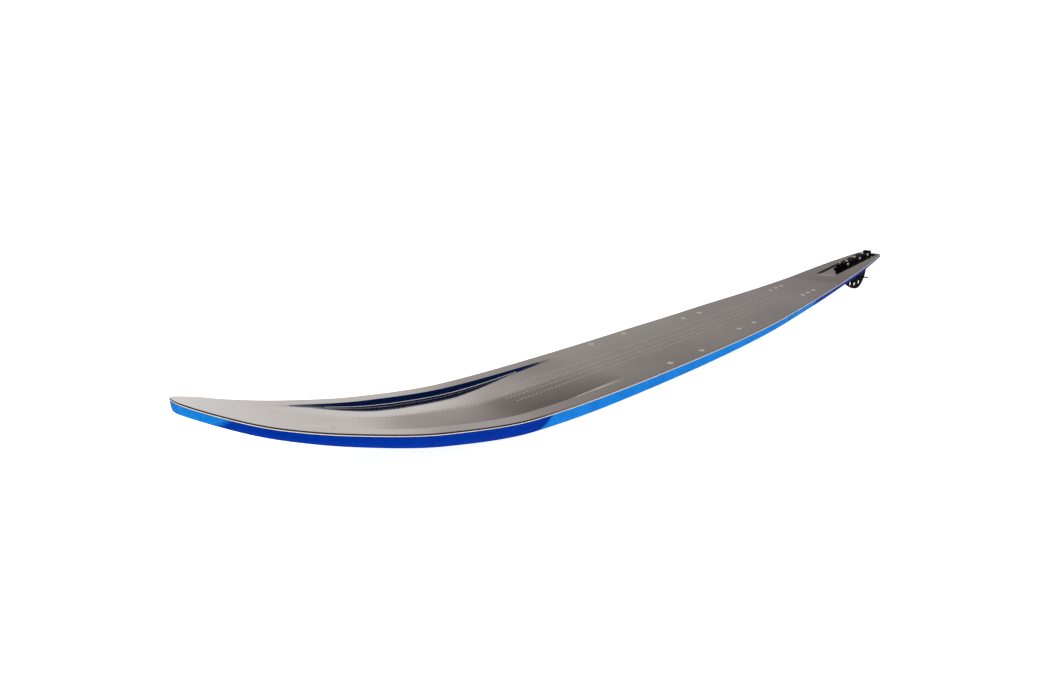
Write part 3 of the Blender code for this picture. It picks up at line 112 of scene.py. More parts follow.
def smooth_between(table, at):
    """A monotone cubic through a table of (place, value) rows."""
    places = [row[0] for row in table]
    values = [row[1] for row in table]
    if at <= places[0]:
        return values[0]
    if at >= places[-1]:
        return values[-1]
    runs = [b - a for a, b in zip(places, places[1:])]
    slopes = [(b - a) / run for a, b, run in zip(values, values[1:], runs)]

    def tangent(k):
        if k in (0, len(places) - 1):
            return slopes[0] if k == 0 else slopes[-1]
        before, after = slopes[k - 1], slopes[k]
        return 0.0 if before * after <= 0 else 2 * before * after / (before + after)

    k = max(i for i in range(len(places) - 1) if places[i] <= at)
    t = (at - places[k]) / runs[k]
    return (values[k] * (1 + 2 * t) * (1 - t) ** 2 + values[k + 1] * t * t * (3 - 2 * t)
            + runs[k] * (tangent(k) * t * (1 - t) ** 2 - tangent(k + 1) * t * t * (1 - t)))


def ease(value):
    """Nought to one, with no slope at either end."""
    value = min(1.0, max(0.0, value))
    return value * value * (3 - 2 * value)


def half_width(s):
    """From the middle to the edge, with a blunt round nose and rounded tail corners."""
    plan = MAX_HALF_WIDTH * smooth_between(PLAN, s / LENGTH)
    if s < NOSE_LENGTH:
        left = 1 - s / NOSE_LENGTH
        plan = NOSE_FLAT + (plan - NOSE_FLAT) * math.sqrt(max(0.0, 1 - left * left))
    if LENGTH - s < TAIL_CORNER:
        left = TAIL_CORNER - (LENGTH - s)
        plan -= TAIL_CORNER - math.sqrt(TAIL_CORNER ** 2 - left * left)
    return plan


def edge_height(s):
    """Height of the deck's edge over the lowest part of the ski: the rocker."""
    start, low = LENGTH - TAIL_STRAIGHT, TIP_RISE * TAIL_START_RISE
    if s >= start:
        return low + TAIL_SLOPE * (s - start)
    run = 0.02 * LENGTH         # the curve meets the straight tail over this length
    rows = [(place * LENGTH, TIP_RISE * share) for place, share in RISE
            if place * LENGTH < start - 2 * run]
    return smooth_between(rows + [(start - run, low - TAIL_SLOPE * run), (start, low)], s)


def thickness(s):
    return MAX_THICKNESS * smooth_between(THICKNESS, s / LENGTH)


print("width", round(2 * half_width(0.53) / MM, 1), "mm, thickness",
      round(thickness(0.53) / MM, 1), "mm a third of the way along")

# %% [markdown]
# ## The camera
#
# The camera's place, direction and focal length were fitted to the photograph's outline in
# the ski frame: it stands close to the tip, a little above the deck, and looks along the ski
# with a wide lens. Depth of field stays off.

# %% Camera
CAMERA_PLACE = Vector((-0.19926, -0.63747, 0.35655))
CAMERA_YAW, CAMERA_PITCH, CAMERA_ROLL = 0.78079, -0.30665, -0.02975
FOCAL_PIXELS, PHOTO_WIDTH, SENSOR = 713.71, 1050, 36.0

forward = Vector((math.cos(CAMERA_PITCH) * math.cos(CAMERA_YAW),
                  math.cos(CAMERA_PITCH) * math.sin(CAMERA_YAW), math.sin(CAMERA_PITCH)))
level = forward.cross(Vector((0, 0, 1))).normalized()
above = level.cross(forward)
cos_roll, sin_roll = math.cos(CAMERA_ROLL), math.sin(CAMERA_ROLL)
right = cos_roll * level + sin_roll * above
up = cos_roll * above - sin_roll * level

lens = bpy.data.cameras.new("camera")
lens.sensor_width = SENSOR
lens.lens = FOCAL_PIXELS * SENSOR / PHOTO_WIDTH
lens.clip_start = 10 * MM
camera = bpy.data.objects.new("camera", lens)
bpy.context.scene.collection.objects.link(camera)
turn = Matrix((right, up, -forward)).transposed().to_4x4()
camera.matrix_world = SKI @ Matrix.Translation(CAMERA_PLACE) @ turn
bpy.context.scene.camera = camera
print("lens", round(lens.lens, 2), "mm, at", [round(v, 3) for v in camera.location])

# %% [markdown]
# ## Small helpers
#
# Colours are written as sRGB hex, as a paint chart gives them, and turned into the linear
# values that the renderer adds up. One function adds a node to any tree, with its settings
# and its links, which keeps every finish below short enough to read.

# %% Colour and node helpers
def linear(code):
    """sRGB hex to linear red, green, blue and one."""
    parts = [int(code[k:k + 2], 16) / 255 for k in (1, 3, 5)]
    return tuple(p / 12.92 if p <= 0.04045 else ((p + 0.055) / 1.055) ** 2.4
                 for p in parts) + (1.0,)


def add(tree, kind, sockets=None, **settings):
    """Add a node; each socket gets a value, or a link where the value is a socket."""
    node = tree.nodes.new(kind)
    for name, value in settings.items():
        setattr(node, name, value)
    for socket, value in (sockets or {}).items():
        if isinstance(value, bpy.types.NodeSocket):
            tree.links.new(value, node.inputs[socket])
        else:
            node.inputs[socket].default_value = value
    return node


def finish(name, **sockets):
    """A material with a Principled shader; returns it with its tree and its shader."""
    material = bpy.data.materials.new(name)
    material.use_nodes = True
    tree = material.node_tree
    shader = tree.nodes["Principled BSDF"]
    for socket, value in sockets.items():
        shader.inputs[socket.replace("_", " ")].default_value = value
    return material, tree, shader


print("a mid grey, #808080, is", [round(v, 3) for v in linear("#808080")])

# %% [markdown]
# ## Carbon deck
#
# The deck is a thin laminate of carbon cloth under a clear epoxy coat. Carbon fibre is not
# black when it is lit: it shines like dull metal along its tows, and the coat adds a gloss
# over it. The eye sees a warm grey sheet that mirrors the bright side of the room at the tip
# and its darker side elsewhere. The cloth is a twill, whose diagonals print through the coat
# as fine ribs. A wave pattern drives the ribs, and a second, weaker one across them keeps
# them from looking machined.

# %% Carbon deck finish
RIB_PITCH = 4.5 * MM        # the twill's diagonals; real ones are finer than a pixel
TOW_PITCH = 3 * MM          # weaker pattern across them
TWILL_TURN = math.radians(38)
WAVE_UNIT = 0.314159        # a Wave texture of scale 1 has bands this far apart
RESIN_WAVES = 9.0           # a metre: slow changes in the depth of the coat
carbon, tree, shader = finish("carbon_cloth_under_epoxy", Metallic=1.0, Roughness=0.09,
                              Coat_Weight=0.3, Coat_Roughness=0.05)
place = add(tree, "ShaderNodeTexCoord").outputs["Object"]
bias = add(tree, "ShaderNodeMapping", {"Vector": place, "Rotation": (0, 0, TWILL_TURN)})
ribs = add(tree, "ShaderNodeTexWave", {"Vector": bias.outputs[0],
                                       "Scale": WAVE_UNIT / RIB_PITCH, "Distortion": 0.4,
                                       "Detail": 1.0}, bands_direction="X")
tows = add(tree, "ShaderNodeTexWave", {"Vector": bias.outputs[0],
                                       "Scale": WAVE_UNIT / TOW_PITCH,
                                       "Distortion": 0.6}, bands_direction="Y")
cloudy = add(tree, "ShaderNodeTexNoise", {"Vector": place, "Scale": RESIN_WAVES,
                                          "Detail": 3.0})
cloth = add(tree, "ShaderNodeMix", {0: 0.25, 2: ribs.outputs["Fac"],
                                    3: tows.outputs["Fac"]})
tint = add(tree, "ShaderNodeValToRGB", {"Fac": cloth.outputs[0]})
tint.color_ramp.elements[0].color = linear("#b0a8a4")
tint.color_ramp.elements[1].color = linear("#b8afaa")
cloud = add(tree, "ShaderNodeMix", {0: cloudy.outputs["Fac"], 6: linear("#d9d6d4"),
                                    7: linear("#ffffff")}, data_type="RGBA")
colour = add(tree, "ShaderNodeMix", {0: 1.0, 6: tint.outputs["Color"],
                                     7: cloud.outputs[2]}, data_type="RGBA",
             blend_type="MULTIPLY")
bump = add(tree, "ShaderNodeBump", {"Strength": 0.04, "Distance": 0.1 * MM,
                                    "Height": cloth.outputs[0]})
tree.links.new(colour.outputs[2], shader.inputs["Base Color"])
tree.links.new(bump.outputs["Normal"], shader.inputs["Normal"])
print("ribs", round(RIB_PITCH / MM, 1), "mm apart")

# %% [markdown]
# ## Cut laminate edge
#
# Round the outline the deck's laminate is cut and sanded, which shows the ends of its fibres
# as a thin dark brown line. It is dark at the tip and fades to a light tan towards the tail.

# %% Cut laminate finish
EDGE_FADE = (-0.50, -0.38)  # world x between which the dark line fades
FIBRE_ENDS = 900.0          # a metre, so 1.1 mm each, where real ones are too fine to show
cut_edge, tree, shader = finish("sanded_laminate_edge", Metallic=0.2, Roughness=0.45)
place = add(tree, "ShaderNodeTexCoord").outputs["Object"]
along = add(tree, "ShaderNodeSeparateXYZ", {0: place}).outputs["X"]
fade = add(tree, "ShaderNodeMapRange", {"Value": along, "From Min": EDGE_FADE[0],
                                        "From Max": EDGE_FADE[1]})
fibres = add(tree, "ShaderNodeTexNoise", {"Vector": place, "Scale": FIBRE_ENDS})
dark = add(tree, "ShaderNodeMix", {0: fibres.outputs["Fac"], 6: linear("#1d1512"),
                                   7: linear("#4a3f36")}, data_type="RGBA")
colour = add(tree, "ShaderNodeMix", {0: fade.outputs[0], 6: dark.outputs[2],
                                     7: linear("#a8998c")}, data_type="RGBA")
tree.links.new(colour.outputs[2], shader.inputs["Base Color"])
print("dark edge fades over", round(EDGE_FADE[1] - EDGE_FADE[0], 2), "m")

# %% [markdown]
# ## Dark channel walls
#
# The steep faces of the channel's walls are nearly black, with a blue cast, between the grey
# rim and the grey floor. This colour is a painted dark reflection, for the dark that these
# glossy walls mirror. It keeps the coat's gloss.
#
# This is the first of a family: most finishes below are two near colours that run into each
# other by one fine pattern. One function makes them all, and hands back what a bump or a
# roughness needs to follow the same pattern.

# %% Channel wall finish
DARK_WALL_CLOUDS = 240.0        # a metre, so 4 mm each


def two_tone(name, colours, kind, sockets, shading, output="Fac", **settings):
    """A finish between two colours: material, tree, shader and the pattern between them."""
    material, tree, shader = finish(name, **shading)
    place = add(tree, "ShaderNodeTexCoord").outputs["Object"]
    pattern = add(tree, kind, {"Vector": place, **sockets}, **settings).outputs[output]
    low, high = [linear(code) for code in colours]
    colour = add(tree, "ShaderNodeMix", {0: pattern, 6: low, 7: high}, data_type="RGBA")
    tree.links.new(colour.outputs[2], shader.inputs["Base Color"])
    return material, tree, shader, pattern


# A painted dark reflection on the channel's steep walls.
dark_reflection_wall, *_ = two_tone("channel_wall_painted_dark_reflection", ("#001540", "#00205a"),
                         "ShaderNodeTexNoise", {"Scale": DARK_WALL_CLOUDS, "Detail": 2.0},
                         {"Metallic": 0.3, "Roughness": 0.12, "Specular IOR Level": 0.2})
print("made", dark_reflection_wall.name)

# %% [markdown]
# ## Blue flake paint
#
# The base and the side walls are sprayed with a metallic flake paint under a thick clear
# coat. Tiny aluminium flakes lie in the paint at slightly different tilts, so it glitters a
# little. Their specks in the colour are a painted glint, which makes it brighter than a plain
# blue. The side's paint is deep blue, and the bright blue panels with slanted edges along it
# are a painted reflection of soft light. Flakes are really 0.05 mm wide; 1.1 mm shows in a
# picture.
# The coat's weight is low, because the side mirrors little of the room in the photograph.

# %% Blue flake paint
FLAKE = 1.1 * MM
CLOUD = 25 * MM                         # passes of the spray gun, slightly uneven
# The bright blue panels along the side are a painted reflection; the joins below are their edges,
# given as places from the tip.
REFLECTION_EDGES = (0.031, 0.398, 1.22)            # from the tip, where one blue meets the other
REFLECTION_EDGE_SOFT = (0.006, 0.003, 0.012)       # half the width of each join
REFLECTION_EDGE_SLANT = -1.5                       # how far a join leans back for its height
blue, tree, shader = finish("flake_paint_with_painted_reflections", Metallic=0.15, Roughness=0.35,
                            Specular_IOR_Level=0.12, Coat_Weight=0.05,
                            Coat_Roughness=0.06, Specular_Tint=linear("#2060ff"))
place = add(tree, "ShaderNodeTexCoord").outputs["Object"]
axes = add(tree, "ShaderNodeSeparateXYZ", {0: place})
slanted = add(tree, "ShaderNodeMath", {0: axes.outputs["Z"], 1: REFLECTION_EDGE_SLANT,
                                       2: axes.outputs["X"]}, operation="MULTIPLY_ADD")
steps = []
for s, soft in zip(REFLECTION_EDGES, REFLECTION_EDGE_SOFT):
    top = SKI @ Vector((s, 0, edge_height(s)))
    at = top.x + REFLECTION_EDGE_SLANT * top.z
    steps.append(add(tree, "ShaderNodeMapRange", {
        "Value": slanted.outputs[0], "From Min": at - soft, "From Max": at + soft}))
# Painted reflection: bright from the tip to the first edge, and from the second edge to the third.
first = add(tree, "ShaderNodeMath", {0: 1.0, 1: steps[0].outputs[0]}, operation="SUBTRACT")
second = add(tree, "ShaderNodeMath", {0: steps[1].outputs[0], 1: steps[2].outputs[0]},
             operation="SUBTRACT")
painted_reflection_mask = add(tree, "ShaderNodeMath", {0: first.outputs[0], 1: second.outputs[0]},
             operation="ADD", use_clamp=True)
flakes = add(tree, "ShaderNodeTexVoronoi", {"Vector": place, "Scale": 1 / FLAKE})
speck = add(tree, "ShaderNodeRGBToBW", {0: flakes.outputs["Color"]})
# Deep blue is the paint's own colour; bright blue is the painted reflection.
painted_reflection_colour = add(tree, "ShaderNodeMix", {0: painted_reflection_mask.outputs[0], 6: linear("#003eb8"),
                                    7: linear("#1c9cff")}, data_type="RGBA")
spray = add(tree, "ShaderNodeTexNoise", {"Vector": place, "Scale": 1 / CLOUD,
                                         "Detail": 2.0})
uneven = add(tree, "ShaderNodeMix", {0: 0.5, 2: speck.outputs[0],
                                     3: spray.outputs["Fac"]})
# Painted glint: the flakes' specks lighten the colour; the spray cloud mixed in is the paint's own
# unevenness.
painted_glint_and_spray = add(tree, "ShaderNodeMix", {0: uneven.outputs[0], 6: linear("#98a0b0"),
                                    7: linear("#ffffff")}, data_type="RGBA")
colour = add(tree, "ShaderNodeMix", {0: 1.0, 6: painted_reflection_colour.outputs[2], 7: painted_glint_and_spray.outputs[2]},
             data_type="RGBA", blend_type="MULTIPLY")
tilt = add(tree, "ShaderNodeBump", {"Strength": 0.12, "Distance": 0.05 * MM,
                                    "Height": speck.outputs[0]})
tree.links.new(colour.outputs[2], shader.inputs["Base Color"])
tree.links.new(tilt.outputs["Normal"], shader.inputs["Normal"])
print("panels join", REFLECTION_EDGES, "m from the tip")

# %% [markdown]
# ## Light finishes: seam, tracer yarn, insert metal
#
# The seam between the two skins is glass fibre wetted with epoxy, sanded flush: a cream line
# less than a millimetre thick. The tracer yarns are cream polyester, stitched into the cloth
# to mark its direction. The inserts are turned brass, dull from the mould and dusty. Yarn
# isn't metal and brass is wholly so, but both are given a part-metallic value here: it was
# matched to how light they look in the photograph, wet with epoxy and pale with dust.

# %% Light finishes
SEAM_GRAINS, DUST_SPECKS = 320.0, 700.0     # a metre, so 3.1 mm and 1.4 mm each
YARN_TWIST = 0.8 * MM
# The seam's light finish also lies on the ledges in the channel's walls, as a painted highlight.
seam_and_painted_ledge_highlight, *_ = two_tone("glass_epoxy_seam_and_painted_ledge_highlight", ("#efe2c4", "#fffaf0"),
                           "ShaderNodeTexNoise", {"Scale": SEAM_GRAINS, "Detail": 2.0},
                           {"Roughness": 0.42})
yarn, *_ = two_tone("polyester_tracer_yarn", ("#d8c8b4", "#f6eade"), "ShaderNodeTexWave",
                    {"Scale": WAVE_UNIT / YARN_TWIST}, {"Metallic": 0.6, "Roughness": 0.3},
                    bands_direction="DIAGONAL")
brass, *_ = two_tone("turned_brass", ("#dcc2a2", "#fff6e8"), "ShaderNodeTexNoise",
                     {"Scale": DUST_SPECKS, "Detail": 3.0},
                     {"Metallic": 0.25, "Roughness": 0.36})
print("made", seam_and_painted_ledge_highlight.name + ",", yarn.name, "and", brass.name)

# %% [markdown]
# ## Black anodised aluminium
#
# The fin, its wing and its clamp are aluminium, milled, blasted with fine beads and anodised
# black. The dye sits in a thin clear layer of oxide, so the metal looks like dark satin
# ceramic: dark from the front, and grey where it mirrors light at a glancing angle. The
# blasting leaves a grain of about 0.3 mm.

# %% Black finishes
GRIT = 0.3 * MM
WEAR_CLOUDS, WEAR_SMOOTHS, WEAR_ROUGHENS = 90.0, 0.06, 0.08     # 11 mm clouds


def dark_metal(name, colours, metallic, roughness):
    """A dark finish with a fine blasted grain and a faint cloud of wear."""
    material, tree, shader, wear = two_tone(
        name, colours, "ShaderNodeTexNoise", {"Scale": WEAR_CLOUDS, "Detail": 4.0},
        {"Metallic": metallic, "Specular IOR Level": 0.25, "Specular Tint": linear("#909090")})
    place = add(tree, "ShaderNodeTexCoord").outputs["Object"]
    grit = add(tree, "ShaderNodeTexNoise", {"Vector": place, "Scale": 1 / GRIT})
    rough = add(tree, "ShaderNodeMapRange", {"Value": wear, "To Min": roughness - WEAR_SMOOTHS,
                                             "To Max": roughness + WEAR_ROUGHENS})
    bump = add(tree, "ShaderNodeBump", {"Strength": 0.15, "Distance": 0.03 * MM,
                                        "Height": grit.outputs["Fac"]})
    tree.links.new(rough.outputs[0], shader.inputs["Roughness"])
    tree.links.new(bump.outputs["Normal"], shader.inputs["Normal"])
    return material


anodised = dark_metal("black_anodised_aluminium", ("#0a0a0c", "#17171a"), 0.6, 0.34)
oxide = dark_metal("black_oxide_steel", ("#16161a", "#2a2a2e"), 0.8, 0.4)
print("made", anodised.name, "and", oxide.name)

# %% [markdown]
# ## Stainless screw heads
#
# The depth and clamp screws are stainless steel, turned and left bright. They are the only
# bright metal on the ski, and in the photograph they look slightly golden. Fine marks from
# the tool and from handling break the highlight up a little. The metallic value is below
# that of clean steel: it was matched to how light the heads look in the photograph.

# %% Stainless finish
stainless, tree, shader, marks = two_tone(
    "turned_stainless_steel", ("#f0e2d2", "#fff8ee"), "ShaderNodeTexNoise",
    {"Scale": 1 / GRIT, "Detail": 2.0}, {"Metallic": 0.6, "Roughness": 0.16})
bump = add(tree, "ShaderNodeBump", {"Strength": 0.1, "Distance": 0.02 * MM, "Height": marks})
tree.links.new(bump.outputs["Normal"], shader.inputs["Normal"])
print("made", stainless.name)

# %% [markdown]
# ## Rows, lofts and cuts
#
# The skins are lofts: a row of points across the ski is worked out at each of some 220 places
# along it, and neighbouring rows are joined by faces. The places are close together where the
# outline turns fast, at the tip and the tail's corners. Corners in a row are eased by a small
# curve with the same number of points each time, so that all rows match.

# %% Row helpers
NOSE_ROWS, BODY_ROWS, TAIL_ROWS, TURN_STEPS = 26, 190, 8, 3
EASE_MOST, EASE_LEAD = 0.4, 1.2     # of a side; and a point just outside each eased corner


def stations():
    """Places along the ski, in equal turns round the tip and the tail's corners."""
    nose = [NOSE_LENGTH * (1 - math.cos(math.pi / 2 * k / NOSE_ROWS)) for k in range(NOSE_ROWS)]
    tail = [LENGTH - TAIL_CORNER * (1 - math.sin(math.pi / 2 * k / TAIL_ROWS))
            for k in range(TAIL_ROWS + 1)]
    run = tail[0] - NOSE_LENGTH
    return nose + [NOSE_LENGTH + run * k / BODY_ROWS for k in range(BODY_ROWS)] + tail


def eased(points, reaches):
    """A row of points with each inner corner turned into a small curve."""
    row = [Vector(points[0])]
    for before, here, after, reach in zip(points, points[1:], points[2:], reaches):
        here = Vector(here)
        back, on = Vector(before) - here, Vector(after) - here
        start = here + back.normalized() * min(reach, EASE_MOST * back.length)
        end = here + on.normalized() * min(reach, EASE_MOST * on.length)
        row.append(here + (start - here) * EASE_LEAD)
        for k in range(TURN_STEPS + 1):
            t = k / TURN_STEPS
            row.append(start * (1 - t) ** 2 + here * 2 * t * (1 - t) + end * t * t)
        row.append(here + (end - here) * EASE_LEAD)
    return row + [Vector(points[-1])]


def mirrored(half):
    """A full row from a half row that runs from the +y side to the middle."""
    return [(p[0], p[1]) for p in half] + [(-p[0], p[1]) for p in reversed(half[:-1])]


print(len(stations()), "places along the ski")

# %% [markdown]
# ## From rows and modifiers to plain pieces
#
# Each piece ends as a plain mesh whose place is in the mesh, with its object at the origin,
# as the CAD's nodes are. Lofts, cuts and bevels all pass through these few helpers, and each
# finished piece is measured as it is handed over.

# %% Piece helpers
SHARP_ANGLE = 32            # degrees; faces that meet at less are shaded as one
WELD = 0.001 * MM           # points nearer than this are one


def shade(mesh, sharp):
    """Smooth shading, but for edges over an angle in degrees."""
    mesh.shade_smooth()
    mesh.set_sharp_from_angle(angle=math.radians(sharp))


def piece_of(name, bm, place, finishes):
    """A bmesh as an object at the origin, with its place in its mesh."""
    bm.transform(place)
    bmesh.ops.remove_doubles(bm, verts=bm.verts, dist=WELD)
    bmesh.ops.recalc_face_normals(bm, faces=bm.faces)
    mesh = bpy.data.meshes.new(name)
    bm.to_mesh(mesh)
    bm.free()
    for material in finishes:
        mesh.materials.append(material)
    shade(mesh, SHARP_ANGLE)
    thing = bpy.data.objects.new(name, mesh)
    bpy.context.scene.collection.objects.link(thing)
    return thing


def loft(sections, ring=False):
    """A bmesh that skins a row of closed sections; a ring has no ends."""
    bm = bmesh.new()
    rows = [[bm.verts.new(point) for point in section] for section in sections]
    count = len(rows[0])
    for k in range(len(rows) if ring else len(rows) - 1):
        here, after = rows[k], rows[(k + 1) % len(rows)]
        for i in range(count):
            j = (i + 1) % count
            bm.faces.new((here[i], here[j], after[j], after[i]))
    if not ring:
        bm.faces.new(rows[0])
        bm.faces.new(rows[-1])
    return bm


def as_mesh(thing):
    """What a piece's curve or modifiers come to, as a new mesh."""
    bpy.context.view_layer.update()
    graph = bpy.context.evaluated_depsgraph_get()
    return bpy.data.meshes.new_from_object(thing.evaluated_get(graph), depsgraph=graph)


def settle(thing, sharp=SHARP_ANGLE):
    """Turn a piece's modifiers into plain mesh; with no angle, its shading is left alone."""
    mesh = as_mesh(thing)
    thing.modifiers.clear()
    thing.data = mesh
    if sharp:
        shade(mesh, sharp)
    return thing


def cut(thing, *cutters):
    """Take other objects out of a piece exactly, and remove them."""
    for cutter in cutters:
        step = thing.modifiers.new("cut", "BOOLEAN")
        step.operation, step.solver, step.object = "DIFFERENCE", "EXACT", cutter
    settle(thing)
    for cutter in cutters:
        bpy.data.objects.remove(cutter, do_unlink=True)
    return thing


def tail_box(name, back, front, half, low, high):
    """A box in the tail's frame, to cut with."""
    bm = bmesh.new()
    middle, size = (-(front + back) / 2, 0, (low + high) / 2), (front - back, 2 * half, high - low)
    bmesh.ops.create_cube(bm, matrix=Matrix.Translation(middle) @ Matrix.Diagonal((*size, 1)))
    return piece_of(name, bm, TAIL, [])


def tell(thing):
    """Print what a finished piece measures, and hand it back."""
    low, high = (Vector(map(pick, zip(*(v.co for v in thing.data.vertices))))
                 for pick in (min, max))
    print(thing.name, [round(v / MM, 1) for v in high - low], "mm,",
          len(thing.data.polygons), "faces")
    return thing


# %% [markdown]
# ## Deck skin
#
# The deck is a 1.3 mm laminate. Its front half has a long sunk channel between two rims. The
# channel has a low ridge along its floor and a narrow ledge low down in each wall, and the
# deck's edge has a small chamfer. A subdivision surface would round the channel's crisp edges
# away, so the deck is lofted from rows that follow the rule, and only the corners are eased.

# %% Deck rows
GAP = 0.3 * MM              # between pieces, as in the CAD
DECK_SKIN, EDGE_CHAMFER, SKIN_TURN = 1.3 * MM, 1.0 * MM, (1.6 * MM, 0.6 * MM)
DECK_EASING = (0.4 * MM, 0.6 * MM, 0.3 * MM, 0.3 * MM, 0.6 * MM)    # corners, from the edge
CHANNEL_DEPTH, CHANNEL_RIM, CHANNEL_WALL, CHANNEL_CROWN = 7.5 * MM, 22 * MM, 7.5 * MM, 4.5 * MM
CHANNEL_FRONT, CHANNEL_REAR = (0.09, 0.275), (0.36, 0.585)
LEDGE_DEPTH, LEDGE = 0.80, (0.73, 0.80)     # shares of the channel's depth and of its wall
FLOOR_SHARES = (0.93, 0.82, 0.68, 0.52, 0.36, 0.20, 0.08, 0.0)
RIDGE, UNDER_RIDGE = 1.25, 2        # powers: 2 rounds the floor's crown, near 1 is a ridge
NARROW_TOP, NARROW_FOOT = 0.35, 0.6     # least the wall's top and foot keep, near the tip
CHAMFER_SHARE, LEDGE_FALL = 0.2, 0.02   # of the half width at most; of the channel's depth


def deck_height(s):
    return edge_height(s) + DECK_ABOVE_EDGE


def channel_depth(s):
    """How deep the channel is: it fades in at its front and out at its rear."""
    fade_in = ease((s - CHANNEL_FRONT[0]) / (CHANNEL_FRONT[1] - CHANNEL_FRONT[0]))
    fade_out = 1 - ease((s - CHANNEL_REAR[0]) / (CHANNEL_REAR[1] - CHANNEL_REAR[0]))
    return CHANNEL_DEPTH * fade_in * fade_out


def wall_top(s):
    """From the middle to the channel wall's upper edge, however narrow the ski is."""
    return max(half_width(s) - CHANNEL_RIM, NARROW_TOP * half_width(s))


def wall_foot(s):
    """From the middle to the wall's lower edge."""
    return max(wall_top(s) - CHANNEL_WALL, NARROW_FOOT * wall_top(s))


def floor_height(s, across, power=RIDGE):
    """Channel floor with a low ridge; level with the deck where there is no channel."""
    depth = channel_depth(s)
    share = min(1.0, abs(across) / wall_foot(s))
    return (deck_height(s) - depth
            + CHANNEL_CROWN * depth / CHANNEL_DEPTH * (1 - share ** power))


def deck_top_half(s):
    """From the edge to the middle: chamfer, rim, channel wall with its ledge, and floor."""
    width, top, foot = half_width(s), wall_top(s), wall_foot(s)
    deck, depth, run = deck_height(s), channel_depth(s), top - foot
    chamfer = min(EDGE_CHAMFER, CHAMFER_SHARE * width)
    ledge, inner = deck - depth * LEDGE_DEPTH, FLOOR_SHARES[0] * foot
    row = [(width, deck - chamfer), (width - chamfer, deck), (top, deck),
           (top - LEDGE[0] * run, ledge), (top - LEDGE[1] * run, ledge - LEDGE_FALL * depth),
           (foot, deck - depth), (inner, floor_height(s, inner))]
    row = eased(row, DECK_EASING)
    return row + [(share * foot, floor_height(s, share * foot)) for share in FLOOR_SHARES[1:]]


def under_deck_half(s):
    """The same for the skin's underside, with a rounder floor and no ledge."""
    width, deck, depth = half_width(s), deck_height(s), channel_depth(s)
    top = min(wall_top(s) + SKIN_TURN[0], 0.9 * width)
    foot = wall_foot(s) + SKIN_TURN[1] * depth / CHANNEL_DEPTH
    return [(width, deck - DECK_SKIN), (top, deck - DECK_SKIN), (foot, deck - depth - DECK_SKIN),
            (0.5 * foot, floor_height(s, 0.5 * foot, UNDER_RIDGE) - DECK_SKIN),
            (0.0, floor_height(s, 0, UNDER_RIDGE) - DECK_SKIN)]


print("channel", round(channel_depth(0.45) / MM, 1), "mm deep at its deepest")

# %% [markdown]
# ## Where the deck is cut
#
# The inserts for the bindings pass through the deck in rows, and the fin's tray is let into
# the tail. Both holes are cut with exact booleans, which keep clean round and square edges.
#
# Four finishes lie on this one piece. The chamfer takes that of cut laminate, the steep faces
# of the channel's walls a painted dark reflection and the ledge in them a painted highlight in
# the seam's light finish, and carbon cloth covers the rest. Which face takes which is worked
# out before the holes are cut.

# %% Deck skin
INSERT_ROWS = ((1025.1, 153.5), (935.8, 153.5), (777.5, 113.3), (723.4, 113.3), (470.7, 71.3),
               (445.3, 71.3), (419.9, 71.3))      # mm from the tail, and mm apart
INSERT_RADIUS, INSERT_LENGTH, INSERT_PROUD = 4.6 * MM, 8.5 * MM, 0.3 * MM
TRAY_FRONT, TRAY_BACK, TRAY_HALF = 284.5 * MM, 11.0 * MM, 22.5 * MM
POCKET_DEPTH, TRAY_FLOOR = 3.2 * MM, 1.6 * MM
TRAY_UNDERSIDE = -POCKET_DEPTH - TRAY_FLOOR
HIGH, REACH = 5 * MM, 20 * MM   # how far cutters stand out, and a slope is measured
CUT_FACES, DARK_REFLECTION_FACES, LEDGE_HIGHLIGHT_FACES = 1, 2, 3    # places in the deck's list of finishes
# Steep wall faces take the painted dark reflection, at a different tilt on each side.
DARK_REFLECTION_TILT = (0.36, 0.12)        # left and right walls are dark where steeper than this
# The ledge takes a painted highlight only where the channel is deep enough.
LEDGE_HIGHLIGHT_STARTS, LEDGE_SLACK = 3 * MM, 0.005       # in the channel's depth and the wall's share
CUT_BAND, HOLE_SIDES = 1.02 * EDGE_CHAMFER, 32  # the chamfer's faces lie this near the edge


def insert_places():
    """Name of each insert's node, and its frame on the deck."""
    for row, (from_tail, spacing) in enumerate(INSERT_ROWS, 1):
        s = LENGTH - from_tail * MM
        slope = (deck_height(s + REACH) - deck_height(s - REACH)) / (2 * REACH)
        for side, sign in (("left", -1), ("right", 1)):
            yield "insert_%d_%s" % (row, side), SKI @ Matrix.Translation(
                (s, sign * spacing / 2 * MM, deck_height(s))) @ Matrix.Rotation(
                -math.atan(slope), 4, "Y")


def tray_seat():
    return tail_box("tray_seat", TRAY_BACK - GAP, TRAY_FRONT + GAP, TRAY_HALF + GAP,
                    TRAY_UNDERSIDE - GAP, HIGH)


def on_ledge_highlight(spot):
    """Whether a place on the deck is on the narrow ledge in a channel wall, which takes a painted
    highlight.
    """
    if channel_depth(spot.x) < LEDGE_HIGHLIGHT_STARTS:
        return False
    top, foot = wall_top(spot.x), wall_foot(spot.x)
    share = (top - abs(spot.y)) / (top - foot)
    return LEDGE[0] - LEDGE_SLACK < share < LEDGE[1] + LEDGE_SLACK


